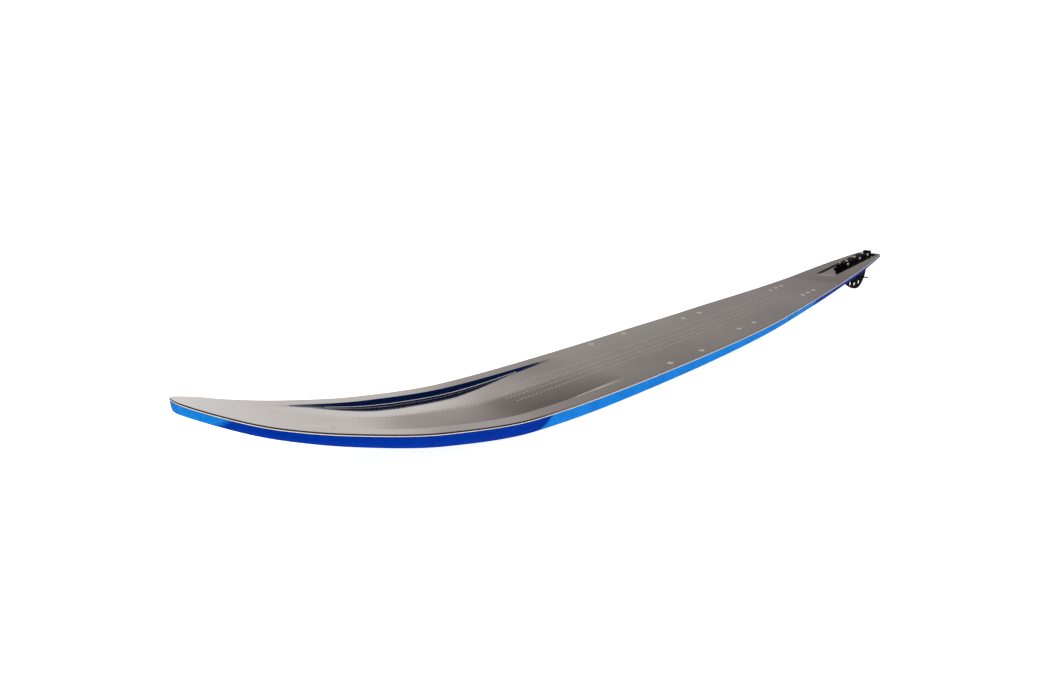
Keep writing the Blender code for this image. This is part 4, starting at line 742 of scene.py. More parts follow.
sections = [[(s, y, z) for y, z in mirrored(deck_top_half(s))
             + list(reversed(mirrored(under_deck_half(s))))] for s in stations()]
bm = loft(sections)
bm.normal_update()
for face in bm.faces:
    middle = face.calc_center_median()
    if abs(middle.y) > half_width(min(LENGTH, max(0, middle.x))) - CUT_BAND:
        face.material_index = CUT_FACES
    # Ledge faces take a painted highlight in the seam's light finish.
    elif on_ledge_highlight(middle):
        face.material_index = LEDGE_HIGHLIGHT_FACES
    # Steep wall faces take the painted dark reflection.
    elif not -DARK_REFLECTION_TILT[1] < face.normal.y < DARK_REFLECTION_TILT[0]:
        face.material_index = DARK_REFLECTION_FACES
deck_skin = piece_of("carbon_deck", bm, SKI, [carbon, cut_edge, dark_reflection_wall, seam_and_painted_ledge_highlight])
holes = bmesh.new()
for _, spot in insert_places():
    bmesh.ops.create_cone(holes, cap_ends=True, segments=HOLE_SIDES, radius1=INSERT_RADIUS + GAP,
                          radius2=INSERT_RADIUS + GAP, depth=2 * INSERT_LENGTH, matrix=spot)
cut(deck_skin, piece_of("insert_holes", holes, Matrix(), []), tray_seat())
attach(deck_skin, "ski")
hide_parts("deck_skin")
tell(deck_skin)

# %% [markdown]
# ## Base skin
#
# The base skin makes the underside and the side walls. A shallow tunnel runs along the
# underside, and a rounded bevel leads from it to each side wall. It is lofted as the deck
# was, then hollowed for the core and slotted for the fin's tray.

# %% Base skin
BASE_SKIN, SEAM_HEIGHT, BEVEL_WIDTH, BEVEL_SHARE = 1.5 * MM, 0.7 * MM, 7.5 * MM, 0.45
BEVEL_MIDDLE = (0.30, 0.48)     # a point that bulges the bevel: shares of its width and rise
HULL_EASING = (2 * MM, 2 * MM, 1.5 * MM)
TUNNEL_DEPTH, TUNNEL_SHARE = 3.5 * MM, 0.80
TUNNEL_STARTS, TUNNEL_FADE, TUNNEL_LOSS = (0.05, 0.75), 0.2, 0.6    # shares of the length
TUNNEL_SHARES = (0.0, 0.15, 0.3, 0.45, 0.6, 0.72, 0.84, 0.93)
END_INSET, HOLLOW_ROWS = 7 * MM, 80
SLOT_BACK, SLOT_FRONT, SLOT_WALL, STEM_HALF = 15.4 * MM, 193.6 * MM, 1.3 * MM, 6 * MM


def tunnel_depth(s):
    """The tunnel deepens behind the tip, and is shallower again at the tail."""
    share = s / LENGTH
    deepens, shallows = [ease((share - start) / TUNNEL_FADE) for start in TUNNEL_STARTS]
    return TUNNEL_DEPTH * deepens * (1 - TUNNEL_LOSS * shallows)


def seam_top(s):
    return deck_height(s) - DECK_SKIN - GAP


def base_top(s):
    return seam_top(s) - SEAM_HEIGHT - GAP


def inset_half_width(s, inset):
    """Half width of an outline that lies inside the ski's, measured square to its edge."""
    low, high = max(0.0, s - 0.5 * MM), min(LENGTH, s + 0.5 * MM)
    slope = (half_width(high) - half_width(low)) / (high - low)
    return half_width(s) - inset * math.sqrt(1 + slope ** 2)


def hull_section(s, inset, top):
    """Closed section of the hull under the seam, or of the hollow inside it."""
    width = inset_half_width(s, inset) if inset else half_width(s)
    rise = (thickness(s) - DECK_SKIN) * BEVEL_SHARE
    low = edge_height(s) - thickness(s) + inset
    bevel = min(BEVEL_WIDTH, 0.5 * width) * thickness(s) / MAX_THICKNESS
    tunnel = (width - bevel) * TUNNEL_SHARE
    row = [(tunnel * share, low + tunnel_depth(s) * (1 - share ** 2))
           for share in TUNNEL_SHARES]
    side = [(tunnel, low), (width - bevel, low),
            (width - BEVEL_MIDDLE[0] * bevel, low + BEVEL_MIDDLE[1] * rise),
            (width, low + rise), (width, top)]
    row += eased(side, HULL_EASING)
    return [(s, y, z) for y, z in mirrored(list(reversed(row)))]


outer = loft([hull_section(s, 0.0, base_top(s)) for s in stations()])
base_skin = piece_of("blue_base", outer, SKI, [blue])
inside = [END_INSET + k * (LENGTH - 2 * END_INSET) / HOLLOW_ROWS for k in range(HOLLOW_ROWS + 1)]
hollow = loft([hull_section(s, BASE_SKIN, base_top(s) + HIGH) for s in inside])
stem_seat = tail_box("stem_seat", SLOT_BACK - SLOT_WALL - GAP, SLOT_FRONT + SLOT_WALL + GAP,
                     STEM_HALF + GAP, -2 * MAX_THICKNESS, TRAY_UNDERSIDE)
cut(base_skin, piece_of("hollow", hollow, SKI, []), stem_seat, tray_seat())
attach(base_skin, "ski")
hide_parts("base_skin")
tell(base_skin)

# %% [markdown]
# ## Edge seam
#
# A strip of glass and resin joins the skins all round the outline. Its section is swept along
# the outline by the same loft, as a closed ring.

# %% Edge seam
rim = [(s, half_width(s)) for s in stations()]
loop = rim + [(s, -y) for s, y in reversed(rim)]
sections = []
for k, (s, y) in enumerate(loop):
    before, after = loop[k - 1], loop[(k + 1) % len(loop)]
    along = Vector((after[0] - before[0], after[1] - before[1])).normalized()
    inner = Vector((s, y)) + Vector((along.y, -along.x)) * BASE_SKIN
    top, inner_top = seam_top(s), seam_top(inner.x)
    sections.append([(s, y, top), (s, y, top - SEAM_HEIGHT),
                     (inner.x, inner.y, inner_top - SEAM_HEIGHT), (inner.x, inner.y, inner_top)])
edge_seam = piece_of("edge_seam_line", loft(sections, ring=True), SKI, [seam_and_painted_ledge_highlight])
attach(edge_seam, "ski")
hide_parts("edge_seam")
tell(edge_seam)

# %% [markdown]
# ## Geometry Nodes for what repeats
#
# Tracer stitches, inserts and screws repeat. For each kind, a small node tree takes a few
# points or lines, copies one part onto them, makes the copies real and gives them their
# finish. The tree's sizes are named inputs, set by the socket's identifier before the object
# is first evaluated, and the result is kept as a plain mesh.

# %% Node tree helpers
def node_tree(name, inputs):
    """A Geometry Nodes tree with named inputs; returns it with its group input."""
    tree = bpy.data.node_groups.new(name, "GeometryNodeTree")
    for label, kind in [("Geometry", "NodeSocketGeometry"), *inputs]:
        tree.interface.new_socket(label, in_out="INPUT", socket_type=kind)
    tree.interface.new_socket("Geometry", in_out="OUTPUT", socket_type="NodeSocketGeometry")
    return tree, add(tree, "NodeGroupInput")


def end_tree(tree, instances, material):
    """End a tree in Realize Instances and Set Material."""
    real = add(tree, "GeometryNodeRealizeInstances", {0: instances})
    done = add(tree, "GeometryNodeSetMaterial", {"Geometry": real.outputs[0],
                                                 "Material": material})
    add(tree, "NodeGroupOutput", {0: done.outputs[0]})


def grow(name, mesh, tree, values):
    """Run a tree on a mesh, and keep the result as a plain piece."""
    thing = bpy.data.objects.new(name, mesh)
    bpy.context.scene.collection.objects.link(thing)
    step = thing.modifiers.new("grow", "NODES")
    step.node_group = tree
    for item in tree.interface.items_tree:
        if item.in_out == "INPUT" and item.name in values:
            step[item.identifier] = values[item.name]
    return settle(thing)


# %% [markdown]
# ## Tracer yarns
#
# The yarns surface at every second tow, so they show as dashed lines: one along the middle of
# the channel, and four from the channel's end towards the tail. The line is resampled at the
# stitch spacing, and a flat dash is laid along it at each point.

# %% Tracer yarns
STITCH_PITCH, STITCH_LENGTH, STITCH_RADIUS, STITCH_SIDES = 7.5 * MM, 4.0 * MM, 0.95 * MM, 6
FLATNESS, LINE_STEP = 0.25, 20 * MM     # a dash's height to its width; points along a line
TRACERS = ((-4 * MM, 0.175, 0.352), (24 * MM, 0.405, 1.20), (5 * MM, 0.405, 1.20),
           (-8.5 * MM, 0.400, 1.20), (-22 * MM, 0.405, 1.20))  # across, start, end, metres

tree, given = node_tree("lay_stitches", [("Pitch", "NodeSocketFloat"),
                                         ("Length", "NodeSocketFloat"),
                                         ("Radius", "NodeSocketFloat"),
                                         ("Finish", "NodeSocketMaterial")])
line = add(tree, "GeometryNodeMeshToCurve", {"Mesh": given.outputs["Geometry"]})
spaced = add(tree, "GeometryNodeResampleCurve", {"Curve": line.outputs[0],
                                                 "Length": given.outputs["Pitch"]},
             mode="LENGTH")
dash = add(tree, "GeometryNodeMeshCylinder", {"Vertices": STITCH_SIDES,
                                              "Radius": given.outputs["Radius"],
                                              "Depth": given.outputs["Length"]})
flat = add(tree, "GeometryNodeTransform", {"Geometry": dash.outputs["Mesh"],
                                           "Scale": (FLATNESS, 1.0, 1.0)})
tangent = add(tree, "GeometryNodeInputTangent")
along = add(tree, "FunctionNodeAlignRotationToVector", {"Vector": tangent.outputs[0]},
            axis="Z")
upright = add(tree, "FunctionNodeAlignRotationToVector",
              {"Rotation": along.outputs[0], "Vector": (0, 0, 1)}, axis="X", pivot_axis="Z")
laid = add(tree, "GeometryNodeInstanceOnPoints", {"Points": spaced.outputs[0],
                                                  "Instance": flat.outputs[0],
                                                  "Rotation": upright.outputs[0]})
end_tree(tree, laid.outputs[0], given.outputs["Finish"])

points, edges = [], []
for across, start, end in TRACERS:
    count = round((end - start) / LINE_STEP)
    first = len(points)
    for k in range(count + 1):
        s = start + (end - start) * k / count
        points.append(SKI @ Vector((s, across, floor_height(s, across))))
    edges += [(first + k, first + k + 1) for k in range(count)]
lines = bpy.data.meshes.new("tracer_lines")
lines.from_pydata(points, edges, [])
tracers = grow("tracer_yarns", lines, tree, {"Pitch": STITCH_PITCH, "Length": STITCH_LENGTH,
                                             "Radius": STITCH_RADIUS, "Finish": yarn})
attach(tracers, "ski")
tell(tracers)

# %% [markdown]
# ## Turned parts
#
# Screws, nuts and inserts are turned, with a hexagon here and there. A profile lists each
# ring of points as radius, height and number of corners; nought corners is a circle. The
# rings are joined into one closed part, which a node tree then seats on points that carry the
# axis of each hole.

# %% Turned parts and how they are seated
SIDES = 24


def turned(name, profile, closed_ring=False):
    """One turned part as an object, from rings of (radius, height, corners)."""
    bm = bmesh.new()
    rings = []
    for radius, height, corners in profile:
        ring = []
        for k in range(SIDES):
            angle = 2 * math.pi * k / SIDES
            reach = radius
            if corners:
                slice_angle = 2 * math.pi / corners
                off = angle % slice_angle - slice_angle / 2
                reach = radius * math.cos(slice_angle / 2) / math.cos(off)
            ring.append(bm.verts.new((reach * math.cos(angle), reach * math.sin(angle),
                                      height)))
        rings.append(ring)
    pairs = list(zip(rings, rings[1:])) + ([(rings[-1], rings[0])] if closed_ring else [])
    for here, after in pairs:
        for k in range(SIDES):
            j = (k + 1) % SIDES
            bm.faces.new((here[k], here[j], after[j], after[k]))
    if not closed_ring:
        bm.faces.new(rings[0])
        bm.faces.new(rings[-1])
    return piece_of(name, bm, Matrix(), [])


tree, given = node_tree("seat_parts", [("Part", "NodeSocketObject"), ("Seed", "NodeSocketInt"),
                                       ("Finish", "NodeSocketMaterial")])
part = add(tree, "GeometryNodeObjectInfo", {"Object": given.outputs["Part"]})
axis = add(tree, "GeometryNodeInputNamedAttribute", {"Name": "axis"},
           data_type="FLOAT_VECTOR")
seated = add(tree, "FunctionNodeAlignRotationToVector", {"Vector": axis.outputs["Attribute"]},
             axis="Z")
spin = add(tree, "FunctionNodeRandomValue", {"Min": (0.0, 0.0, 0.0),
                                             "Max": (0.0, 0.0, math.tau),
                                             "Seed": given.outputs["Seed"]},
           data_type="FLOAT_VECTOR")
turned_by = add(tree, "FunctionNodeEulerToRotation", {0: spin.outputs[0]})
final = add(tree, "FunctionNodeRotateRotation", {"Rotation": seated.outputs[0],
                                                 "Rotate By": turned_by.outputs[0]},
            rotation_space="LOCAL")
placed = add(tree, "GeometryNodeInstanceOnPoints", {"Points": given.outputs["Geometry"],
                                                    "Instance": part.outputs["Geometry"],
                                                    "Rotation": final.outputs[0]})
end_tree(tree, placed.outputs[0], given.outputs["Finish"])
seat_parts = tree


def seat(name, part, places, material, body, nodes, seed=1):
    """Seat copies of a part on (place, axis) rows, and let them ride on a body."""
    mesh = bpy.data.meshes.new(name)
    mesh.from_pydata([place for place, _ in places], [], [])
    mesh.attributes.new("axis", "FLOAT_VECTOR", "POINT").data.foreach_set(
        "vector", [value for _, axis in places for value in axis])
    thing = grow(name, mesh, seat_parts, {"Part": part, "Seed": seed, "Finish": material})
    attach(thing, body)
    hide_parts(*nodes)
    return tell(thing)


# %% [markdown]
# ## Inserts
#
# Fourteen brass inserts wait for the screws of the bindings. Each is a collar just proud of
# the deck with a blind threaded hole. The thread is drawn as rings, 1 mm apart: a real one
# climbs, which can't be seen from outside.

# %% Inserts
THREAD_PITCH, THREAD_DEPTH, BORE, BORE_FLOOR = 1.0 * MM, 0.35 * MM, 3.0 * MM, -6.7 * MM
profile = [(BORE - THREAD_DEPTH, BORE_FLOOR, 0)]
height = BORE_FLOOR + 0.5 * THREAD_PITCH
while height < -THREAD_PITCH:
    profile += [(BORE, height, 0), (BORE - THREAD_DEPTH, height + 0.5 * THREAD_PITCH, 0)]
    height += THREAD_PITCH
profile += [(BORE, -0.4 * MM, 0), (BORE + 0.35 * MM, INSERT_PROUD, 0),      # chamfered mouth
            (INSERT_RADIUS - 0.3 * MM, INSERT_PROUD, 0),
            (INSERT_RADIUS, INSERT_PROUD - 0.25 * MM, 0),
            (INSERT_RADIUS, INSERT_PROUD - INSERT_LENGTH, 0)]
insert = turned("insert_pattern", profile)
spots = list(insert_places())
seat("binding_inserts", insert, [(spot.translation, spot.to_3x3() @ Vector((0, 0, 1)))
                                 for _, spot in spots], brass, "ski",
     [name for name, _ in spots])
bpy.data.objects.remove(insert, do_unlink=True)

# %% [markdown]
# ## Screws and nuts of the clamp
#
# Small black screws hold the rails and the bracket down, and bright ones clamp the rails
# together across the fin. Three more, also bright, stand along the top and set the fin's
# depth; each of those is on a body of its own, because it turns. All have a round head with a
# hexagon socket.

# %% Screws and nuts
# A screw is its head's radius and height, its shank's radius and length, and its socket's
# radius and depth. A nut is its bore, its radius to the corners and its height. All in mm.
MOUNT_SCREW, CLAMP_SCREW = (2.3, 1.5, 1.4, 3.4, 0.9, 0.8), (3.6, 2.8, 1.75, 18.8, 1.5, 1.3)
DEPTH_SCREW, CLAMP_NUT = (3.2, 2.0, 1.5, 11.1, 1.2, 1.1), (2.05, 3.9, 3.0)
MOUNT_PLACES, CLAMP_PLACES = (177, 114, 59), (166.5, 93, 42)    # mm from the tail
DEPTH_PLACES, BRACKET_PLACE = (153.5, 106, 55), 197.3
RAIL_ACROSS, BRACKET_ACROSS, SEAT_ACROSS = 10.8 * MM, 7.6 * MM, 7.9 * MM
FOOT_TOP, RAIL_TOP, BRACKET_TOP, CLAMP_HEIGHT = 0.6 * MM, 8.4 * MM, -1.0 * MM, 3.7 * MM
SIDEWAYS = Vector((0, 1, 0))
HEAD_ROUND = ((0.62, 1.0), (0.80, 0.94), (0.93, 0.76), (1.0, 0.48), (1.0, 0.06), (0.97, 0.0))
MOUTH, SHANK_END, SHANK_TAPER = 1.12, 0.4 * MM, 0.75    # the socket's flare, the shank's end
NUT_ROUND, NUT_FACES = 0.86, (0.1, 0.9)                 # shares of its radius and its height


def pan_screw(name, sizes):
    """A screw with a round head and a hexagon socket; the head's seat is at nought."""
    radius, height, shank, length, socket, depth = [size * MM for size in sizes]
    return turned(name, [
        (socket, height - depth, 6), (socket, height - 0.1 * MM, 6), (socket * MOUTH, height, 0),
        *((radius * out, height * up_to, 0) for out, up_to in HEAD_ROUND), (shank, 0.0, 0),
        (shank, -length + SHANK_END, 0), (shank * SHANK_TAPER, -length, 0)])


def hex_nut(name, sizes):
    """A nut with turned chamfers."""
    bore, radius, height = [size * MM for size in sizes]
    faces = [(radius, share * height, 6) for share in NUT_FACES]
    return turned(name, [(bore, 0, 0), (radius * NUT_ROUND, 0, 0), *faces,
                         (radius * NUT_ROUND, height, 0), (bore, height, 0)], closed_ring=True)


def tail_point(place, across, height):
    return TAIL @ Vector((-place * MM, across, height))


mount_rows = [(place, RAIL_ACROSS, FOOT_TOP + GAP) for place in MOUNT_PLACES]
mount_rows.append((BRACKET_PLACE, BRACKET_ACROSS, BRACKET_TOP + GAP))
mount_screw = pan_screw("mount_pattern", MOUNT_SCREW)
seat("mount_screws", mount_screw,
     [(tail_point(place, side * across, height), upward)
      for place, across, height in mount_rows for side in (-1, 1)], oxide, "ski",
     ["mount_screw_%d_%s" % (k, side) for k in (1, 2, 3, 4) for side in ("left", "right")])

clamp_screw = pan_screw("clamp_pattern", CLAMP_SCREW)
clamp_nut = hex_nut("nut_pattern", CLAMP_NUT)
for name, part, side, seed in (("clamp_screw", clamp_screw, -1, 4),
                               ("clamp_nut", clamp_nut, 1, 7)):
    seat(name + "s", part,
         [(tail_point(place, side * SEAT_ACROSS, CLAMP_HEIGHT), side * SIDEWAYS)
          for place in CLAMP_PLACES],
         stainless, "ski", ["%s_%d" % (name, k) for k in (1, 2, 3)], seed)

depth_screw = pan_screw("depth_pattern", DEPTH_SCREW)
for number, (place, body) in enumerate(zip(DEPTH_PLACES, ("front", "middle", "rear")), 1):
    seat("depth_screw_" + body, depth_screw,
         [(tail_point(place, 0, RAIL_TOP + GAP), upward)], stainless,
         body + "_depth_screw", ["depth_screw_%d" % number], number)

# %% [markdown]
# ## Rails, bracket, carrier, tray and wing
#
# These are milled or moulded, and their CAD shape is right. Their edges aren't: nothing real
# has edges of no width, and the thin highlights on broken edges are what make a black part
# readable. Each gets a copy of the CAD mesh, merged, its flat faces made whole, and a small
# bevel of the width that a deburring tool leaves. Shaded smoothly, such a bevel would bend
# the reflection over the whole flat face beside it. Weighted normals stop that: the larger
# faces set the shading at each corner, and only the bevel is shaded as a curve.

# %% Broken edges
MERGE, FACE_WEIGHT = 0.005 * MM, 100
FLAT_ANGLE, BROKEN_ANGLE, BEVEL_SHARP = 1.0, 28, 40     # degrees
BROKEN = (("rail_left", "clamp_rail_left", 0.3), ("rail_right", "clamp_rail_right", 0.3),
          ("bracket", "front_bracket", 0.35), ("carrier", "depth_carrier", 0.25),
          ("thumb_grip", "thumb_screw", 0.15), ("wing_half_left", "wing_left", 0.5),
          ("wing_half_right", "wing_right", 0.5))       # piece, CAD node, bevel in mm


def broken_edges(name, node, width, material):
    """A copy of a CAD piece with its edges broken, in place of the piece."""
    bm = bmesh.new()
    bm.from_mesh(frame["nodes"][node].data)
    bmesh.ops.remove_doubles(bm, verts=bm.verts, dist=MERGE)
    bmesh.ops.dissolve_limit(bm, angle_limit=math.radians(FLAT_ANGLE), verts=bm.verts,
                             edges=bm.edges)
    thing = piece_of(name, bm, Matrix(), [material])
    bevel = thing.modifiers.new("edges", "BEVEL")
    bevel.width, bevel.segments, bevel.limit_method = width, 2, "ANGLE"
    bevel.angle_limit = math.radians(BROKEN_ANGLE)
    settle(thing, BEVEL_SHARP)
    weigh = thing.modifiers.new("weigh", "WEIGHTED_NORMAL")
    weigh.keep_sharp, weigh.weight = True, FACE_WEIGHT
    settle(thing, None)
    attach(thing, frame["nodes"][node]["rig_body"])
    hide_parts(node)
    return tell(thing)


for name, node, width in BROKEN:
    broken_edges(name, node, width * MM, anodised)
broken_edges("tail_tray", "fin_tray", 0.25 * MM, carbon)

# %% [markdown]
# ## Fin
#
# The fin is cut from 2 mm sheet and its edges are eased. Its outline is two long curves, deep
# towards the back, with three round holes near the lower edge. A filled 2D curve is the
# natural tool: holes are only more curves, and its bevel gives the eased edge. The notches
# that clear the clamp's screws are in the outline.

# %% Fin outline
FIN_HALF, FIN_EDGE = 1.0 * MM, 0.35 * MM
FIN_FRONT, FIN_BACK, FIN_DEPTH, FIN_DEEPEST = 190 * MM, 19 * MM, 77 * MM, 65 * MM
FIN_TOP, FIN_SHOULDER = 4.7 * MM, (177.5 * MM, -4.7 * MM)
FIN_FRONT_TURN, FIN_REAR_TURN = 9 * MM, 36 * MM
FRONT_PULLS, REAR_PULLS = (0.30, 0.36), (0.55, 0.5)  # how far each end pulls its curve along
FRONT_STEPS, REAR_STEPS, SLOT_STEPS = 40, 26, 12
FIN_HOLES = ((61.5, 63), (89, 62), (116.5, 56))      # mm from the tail, and mm deep
FIN_HOLE, SCREW_HOLE, WING_SPACING = 5.0 * MM, 1.8 * MM, 15 * MM
WING_REST, WING_SWING = math.radians(8), math.radians(8)
NOTCH_HALF, NOTCH_FLOOR = 5.05 * MM, 0.15 * MM      # round the clamp screws
SLIT_HALF, SLIT_FLOOR = 1.8 * MM, -4.2 * MM         # round the depth screws
NUT_ROOM, NUT_HEIGHT = 2.7 * MM, 1.2 * MM           # round the nuts of the depth screws


def bezier(points, steps):
    """Points along one cubic curve, without its last point."""
    a, b, c, d = [Vector(point) for point in points]
    return [a * (1 - t) ** 3 + b * 3 * t * (1 - t) ** 2 + c * 3 * t * t * (1 - t) + d * t ** 3
            for t in (k / steps for k in range(steps))]


def circle(x, y, radius, steps=48, start=0.0, sweep=math.tau):
    """Points round a circle, or along an arc with both of its ends."""
    last = steps if sweep == math.tau else steps - 1
    return [(x + radius * math.cos(start + sweep * k / last),
             y + radius * math.sin(start + sweep * k / last)) for k in range(steps)]


def fin_outline():
    """The blade's outline: shoulder, leading curve, trailing curve, and the notched top."""
    front, rear = (-FIN_FRONT, -FIN_FRONT_TURN), (-FIN_BACK, -FIN_REAR_TURN)
    deepest = (-FIN_DEEPEST, -FIN_DEPTH)
    run_front, run_back = FIN_FRONT - FIN_DEEPEST, FIN_DEEPEST - FIN_BACK
    shoulder, step = FIN_SHOULDER
    notches = [(place * MM, NOTCH_HALF, NOTCH_FLOOR) for place in CLAMP_PLACES]
    notches += [(place * MM, SLIT_HALF, SLIT_FLOOR) for place in DEPTH_PLACES]
    top = []
    for place, half, floor in sorted(notches):
        top += [(-place + half, FIN_TOP), (-place + half, floor), (-place - half, floor),
                (-place - half, FIN_TOP)]
    outline = [(-shoulder, FIN_TOP), (-shoulder, step), (-FIN_FRONT, step)]
    outline += bezier((front, (front[0], front[1] - FRONT_PULLS[0] * FIN_DEPTH),
                       (deepest[0] - FRONT_PULLS[1] * run_front, deepest[1]), deepest),
                      FRONT_STEPS)
    outline += bezier((deepest, (deepest[0] + REAR_PULLS[0] * run_back, deepest[1]),
                       (rear[0], rear[1] - REAR_PULLS[1] * (FIN_DEPTH - FIN_REAR_TURN)),
                       rear), REAR_STEPS)
    return outline + [rear, (-FIN_BACK, FIN_TOP)] + top


def wing_slot():
    """Curved slot in the fin for the wing's rear screw, round the front one."""
    x, y = -WING_PIVOT[0], WING_PIVOT[1]
    row = []
    for swing, start, wall in ((WING_SWING, 0.0, -SCREW_HOLE),
                               (-WING_SWING, math.pi, SCREW_HOLE)):
        angle = swing - WING_REST
        row += circle(x + WING_SPACING * math.cos(angle), y + WING_SPACING * math.sin(angle),
                      SCREW_HOLE, SLOT_STEPS, angle + start, math.pi)
        row.append((x + (WING_SPACING + wall) * math.cos(-WING_REST),
                    y + (WING_SPACING + wall) * math.sin(-WING_REST)))
    return row


print("fin", round((FIN_FRONT - FIN_BACK) / MM), "mm long, outline of",
      len(fin_outline()), "points")

# %% [markdown]
# ## Cutting the fin from its sheet
#
# The curves are filled, made a mesh, stood upright in the tail's frame and moved to the fin's
# place. The room for the depth screws' nuts lies inside the blade, so it is cut afterwards.

# %% Fin
sheet = bpy.data.curves.new("fin_sheet", "CURVE")
sheet.dimensions, sheet.fill_mode = "2D", "BOTH"
sheet.extrude = FIN_HALF - FIN_EDGE
sheet.bevel_depth, sheet.bevel_resolution, sheet.offset = FIN_EDGE, 1, -FIN_EDGE
shapes = [fin_outline(), wing_slot(), circle(-WING_PIVOT[0], WING_PIVOT[1], SCREW_HOLE, 24)]
shapes += [circle(-place * MM, -depth * MM, FIN_HOLE) for place, depth in FIN_HOLES]
for shape in shapes:
    spline = sheet.splines.new("POLY")
    spline.points.add(len(shape) - 1)
    for point, spot in zip(spline.points, shape):
        point.co = (spot[0], spot[1], 0.0, 1.0)
    spline.use_cyclic_u = True
drawn = bpy.data.objects.new("fin_drawn", sheet)
bpy.context.scene.collection.objects.link(drawn)
bm = bmesh.new()
bm.from_mesh(as_mesh(drawn))
bpy.data.objects.remove(drawn, do_unlink=True)
stand = Matrix.Rotation(math.pi / 2, 4, "X")        # from drawn flat to upright
fin = piece_of("fin_blade", bm, TAIL @ stand, [anodised])
nut_room = bmesh.new()
for place in DEPTH_PLACES:
    bmesh.ops.create_cone(nut_room, cap_ends=True, segments=SIDES, radius1=NUT_ROOM,
                          radius2=NUT_ROOM, depth=2 * HIGH,
                          matrix=TAIL @ Matrix.Translation((-place * MM, 0, NUT_HEIGHT)) @ stand)
cut(fin, piece_of("nut_room", nut_room, Matrix(), []))
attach(fin, "fin_blade")
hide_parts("fin")
tell(fin)

# %% [markdown]
# ## Wing screws
#
# Two black screws and nuts hold the wing's halves to the fin. They ride with the wing, whose
# rear screw slides in the curved slot when the angle is set.

# %% Wing screws
wing_frame = (TAIL @ Matrix.Translation((-WING_PIVOT[0], 0, WING_PIVOT[1]))
              @ Matrix.Rotation(WING_REST, 4, "Y"))
WING_TAB, WING_NUT = 1.6 * MM, (1.8, 2.8, 1.8)      # a half's tab is under each screw's head
WING_OUTER = FIN_HALF + 2 * GAP + WING_TAB
WING_SCREW = (2.8, 1.6, 1.5, 2 * WING_OUTER / MM + WING_NUT[2], 1.1, 0.8)
wing_screw = pan_screw("wing_pattern", WING_SCREW)
wing_nut = hex_nut("wing_nut_pattern", WING_NUT)
for name, part, side, kind in (("wing_screws", wing_screw, -1, "wing_screw_"),
                               ("wing_nuts", wing_nut, 1, "wing_nut_")):
    seat(name, part, [(wing_frame @ Vector((x, side * WING_OUTER, 0)), side * SIDEWAYS)
                      for x in (0.0, WING_SPACING)], oxide, "wing",
         [kind + "front", kind + "rear"])
for pattern in (mount_screw, clamp_screw, clamp_nut, depth_screw, wing_screw, wing_nut):
    bpy.data.objects.remove(pattern, do_unlink=True)

# %% [markdown]
# ## Hidden pieces
#
# The foam core, the hard blocks under the inserts, the nuts inside the fin and the collar on
# the thumb screw can't be seen from outside. Their CAD shapes stay, with a finish each.

# %% Hidden pieces
FOAM_CELL, PLY = 1.2 * MM, 1 * MM
foam, *_ = two_tone("closed_cell_foam", ("#e4d7ac", "#f3ebcd"), "ShaderNodeTexVoronoi",
                    {"Scale": 1 / FOAM_CELL}, {"Roughness": 0.9}, "Distance")
block, *_ = two_tone("phenolic_block", ("#5a3b20", "#7a5634"), "ShaderNodeTexWave",
                     {"Scale": WAVE_UNIT / PLY, "Distortion": 1.0}, {"Roughness": 0.6},
                     bands_direction="Z")

kept = {"foam_core": foam, "insert_block_front": block, "insert_block_heel": block,
        "insert_block_rear": block, "depth_nut_1": brass, "depth_nut_2": brass,
        "depth_nut_3": brass, "thumb_collar": stainless}
for node, material in kept.items():
    for part_slot in frame["nodes"][node].material_slots:
        part_slot.material = material
print(len(kept), "CAD pieces kept with a new finish")

# %% [markdown]
# ## Floor and light
#
# The photograph has a white background with no shadow. The floor here is a sheet of white
# acrylic, lit from below, and the camera sees paper white behind it. Nothing glossy mirrors
# these two. The floor is hidden from reflections, and every ray but the camera's meets a room
# instead, which is bright low down, grey higher up and white right overhead, and brighter
# towards the ski's sides than along its length. The deck is nearly a mirror, so what it shows
# is this room's gradient: bright at the tip, where it tilts back, and grey along the flat. A
# broad soft light from above lights what isn't glossy, and isn't mirrored either.

# %% Floor and light
FLOOR_HALF, FLOOR_DROP, FLOOR_GLOW = 4.0, 0.15 * MM, 0.92
ACRYLIC_CLOUDS = 3.0        # a metre
ROOM_HEIGHTS = ((-0.40, "#2a2a2e"), (-0.25, "#8a888c"), (-0.12, "#f0eeec"), (0.0, "#fcfaf8"),
                (0.27, "#f0ecea"), (0.31, "#e2dedc"), (0.36, "#cfcbc8"), (0.435, "#b8b4b2"),
                (0.465, "#a8a4a2"), (0.52, "#8c8886"), (0.62, "#848280"), (0.78, "#8c8a8a"),
                (0.90, "#b0b0b0"), (0.97, "#ffffff"))       # sine of the height, and colour
ROOM_SIDES = ((0.0, "#909090"), (0.48, "#949494"), (0.65, "#aaaaaa"), (0.745, "#bcbcbc"),
              (0.78, "#c0c0c0"), (0.82, "#c2c2c2"), (0.84, "#d0d0d0"), (0.865, "#dcdcdc"),
              (0.90, "#d6d6d6"), (0.93, "#d6d6d6"), (0.965, "#e8e8e8"), (1.0, "#e8e8e8"))
BRIGHT_SIDE = (0.2, 0.95, 0.0)      # ROOM_SIDES is by how near a direction is to this line
ROOM_STRENGTH, LAMP_STRENGTH, LAMP_SPREAD = 1.3, 2.0, 120
bm = bmesh.new()
bmesh.ops.create_grid(bm, x_segments=1, y_segments=1, size=FLOOR_HALF)
floor_finish, *_ = two_tone("lit_white_acrylic", ("#f0f0f0", "#f4f4f4"), "ShaderNodeTexNoise",
                            {"Scale": ACRYLIC_CLOUDS},
                            {"Roughness": 0.9, "Emission Color": linear("#ffffff"),
                             "Emission Strength": FLOOR_GLOW})
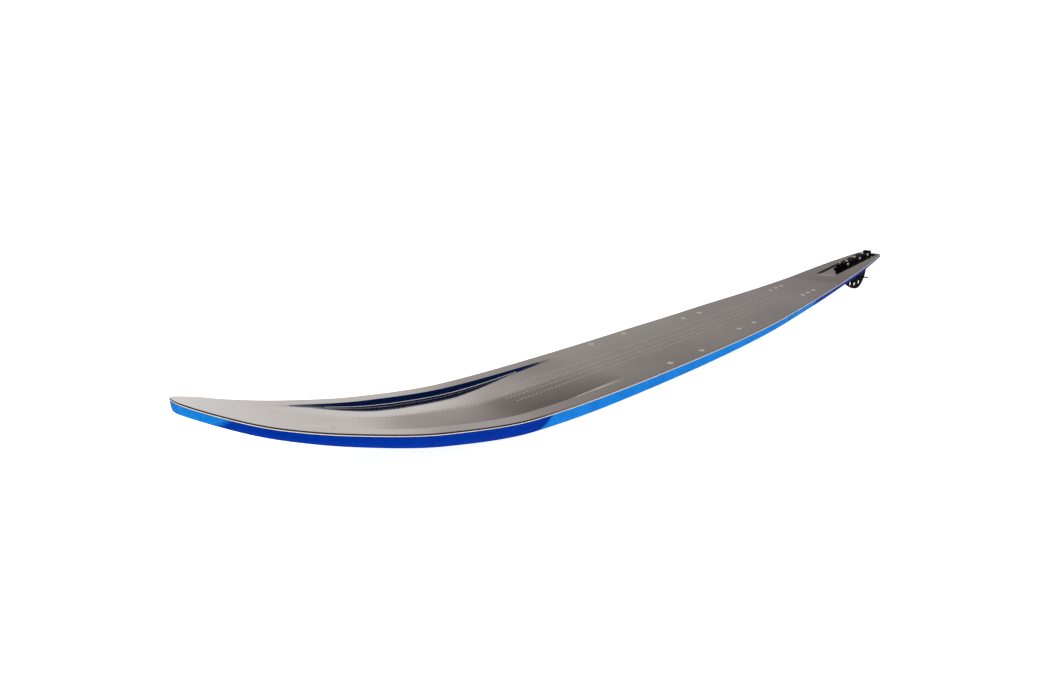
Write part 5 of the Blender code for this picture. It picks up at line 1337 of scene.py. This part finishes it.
floor = piece_of("floor", bm, Matrix.Translation((0, 0, -FLOOR_DROP)), [floor_finish])
floor.visible_glossy = False
print("floor", 2 * FLOOR_HALF, "m across")

# %% [markdown]
# ## The room that gloss sees
#
# The room is a world shader: one ramp by height times one ramp by side. It is as smooth as a
# studio with large diffusers, so nothing with an outline shows in the deck. Its values were
# found by comparing the deck, the rims and the walls with the photograph, place by place.

# %% Room and lamp
world = bpy.data.worlds.new("studio")
world.use_nodes = True
tree = world.node_tree
tree.nodes.clear()
direction = add(tree, "ShaderNodeTexCoord").outputs["Generated"]
height = add(tree, "ShaderNodeSeparateXYZ", {0: direction}).outputs["Z"]
upper = add(tree, "ShaderNodeMath", {0: height, 1: 0.5, 2: 0.5}, operation="MULTIPLY_ADD")
toward = add(tree, "ShaderNodeVectorMath", {0: direction, 1: BRIGHT_SIDE},
             operation="DOT_PRODUCT")
side = add(tree, "ShaderNodeMath", {0: toward.outputs["Value"]}, operation="ABSOLUTE")
ramps = []
for value, table in ((upper, [(0.5 + 0.5 * at, code) for at, code in ROOM_HEIGHTS]),
                     (side, ROOM_SIDES)):
    node = add(tree, "ShaderNodeValToRGB", {"Fac": value.outputs[0]})
    while len(node.color_ramp.elements) < len(table):
        node.color_ramp.elements.new(0.5)
    for element, (at, code) in zip(node.color_ramp.elements, table):
        element.position = at
        element.color = linear(code)
    ramps.append(node)
room = add(tree, "ShaderNodeMix", {0: 1.0, 6: ramps[0].outputs["Color"],
                                   7: ramps[1].outputs["Color"]}, data_type="RGBA",
           blend_type="MULTIPLY")
seen = add(tree, "ShaderNodeLightPath").outputs["Is Camera Ray"]
backdrop = add(tree, "ShaderNodeMix", {0: seen, 6: room.outputs[2],
                                       7: linear("#ffffff")}, data_type="RGBA")
glow = add(tree, "ShaderNodeBackground", {"Color": backdrop.outputs[2],
                                          "Strength": ROOM_STRENGTH})
add(tree, "ShaderNodeOutputWorld", {"Surface": glow.outputs[0]})
bpy.context.scene.world = world

lamp = bpy.data.lights.new("overhead_diffuser", "SUN")
lamp.energy, lamp.angle = LAMP_STRENGTH, math.radians(LAMP_SPREAD)
diffuser = bpy.data.objects.new("overhead_diffuser", lamp)
diffuser.visible_glossy = False
bpy.context.scene.collection.objects.link(diffuser)
bpy.context.scene.view_settings.view_transform = "Standard"
print("room of strength", ROOM_STRENGTH, "and a soft light of", lamp.energy)
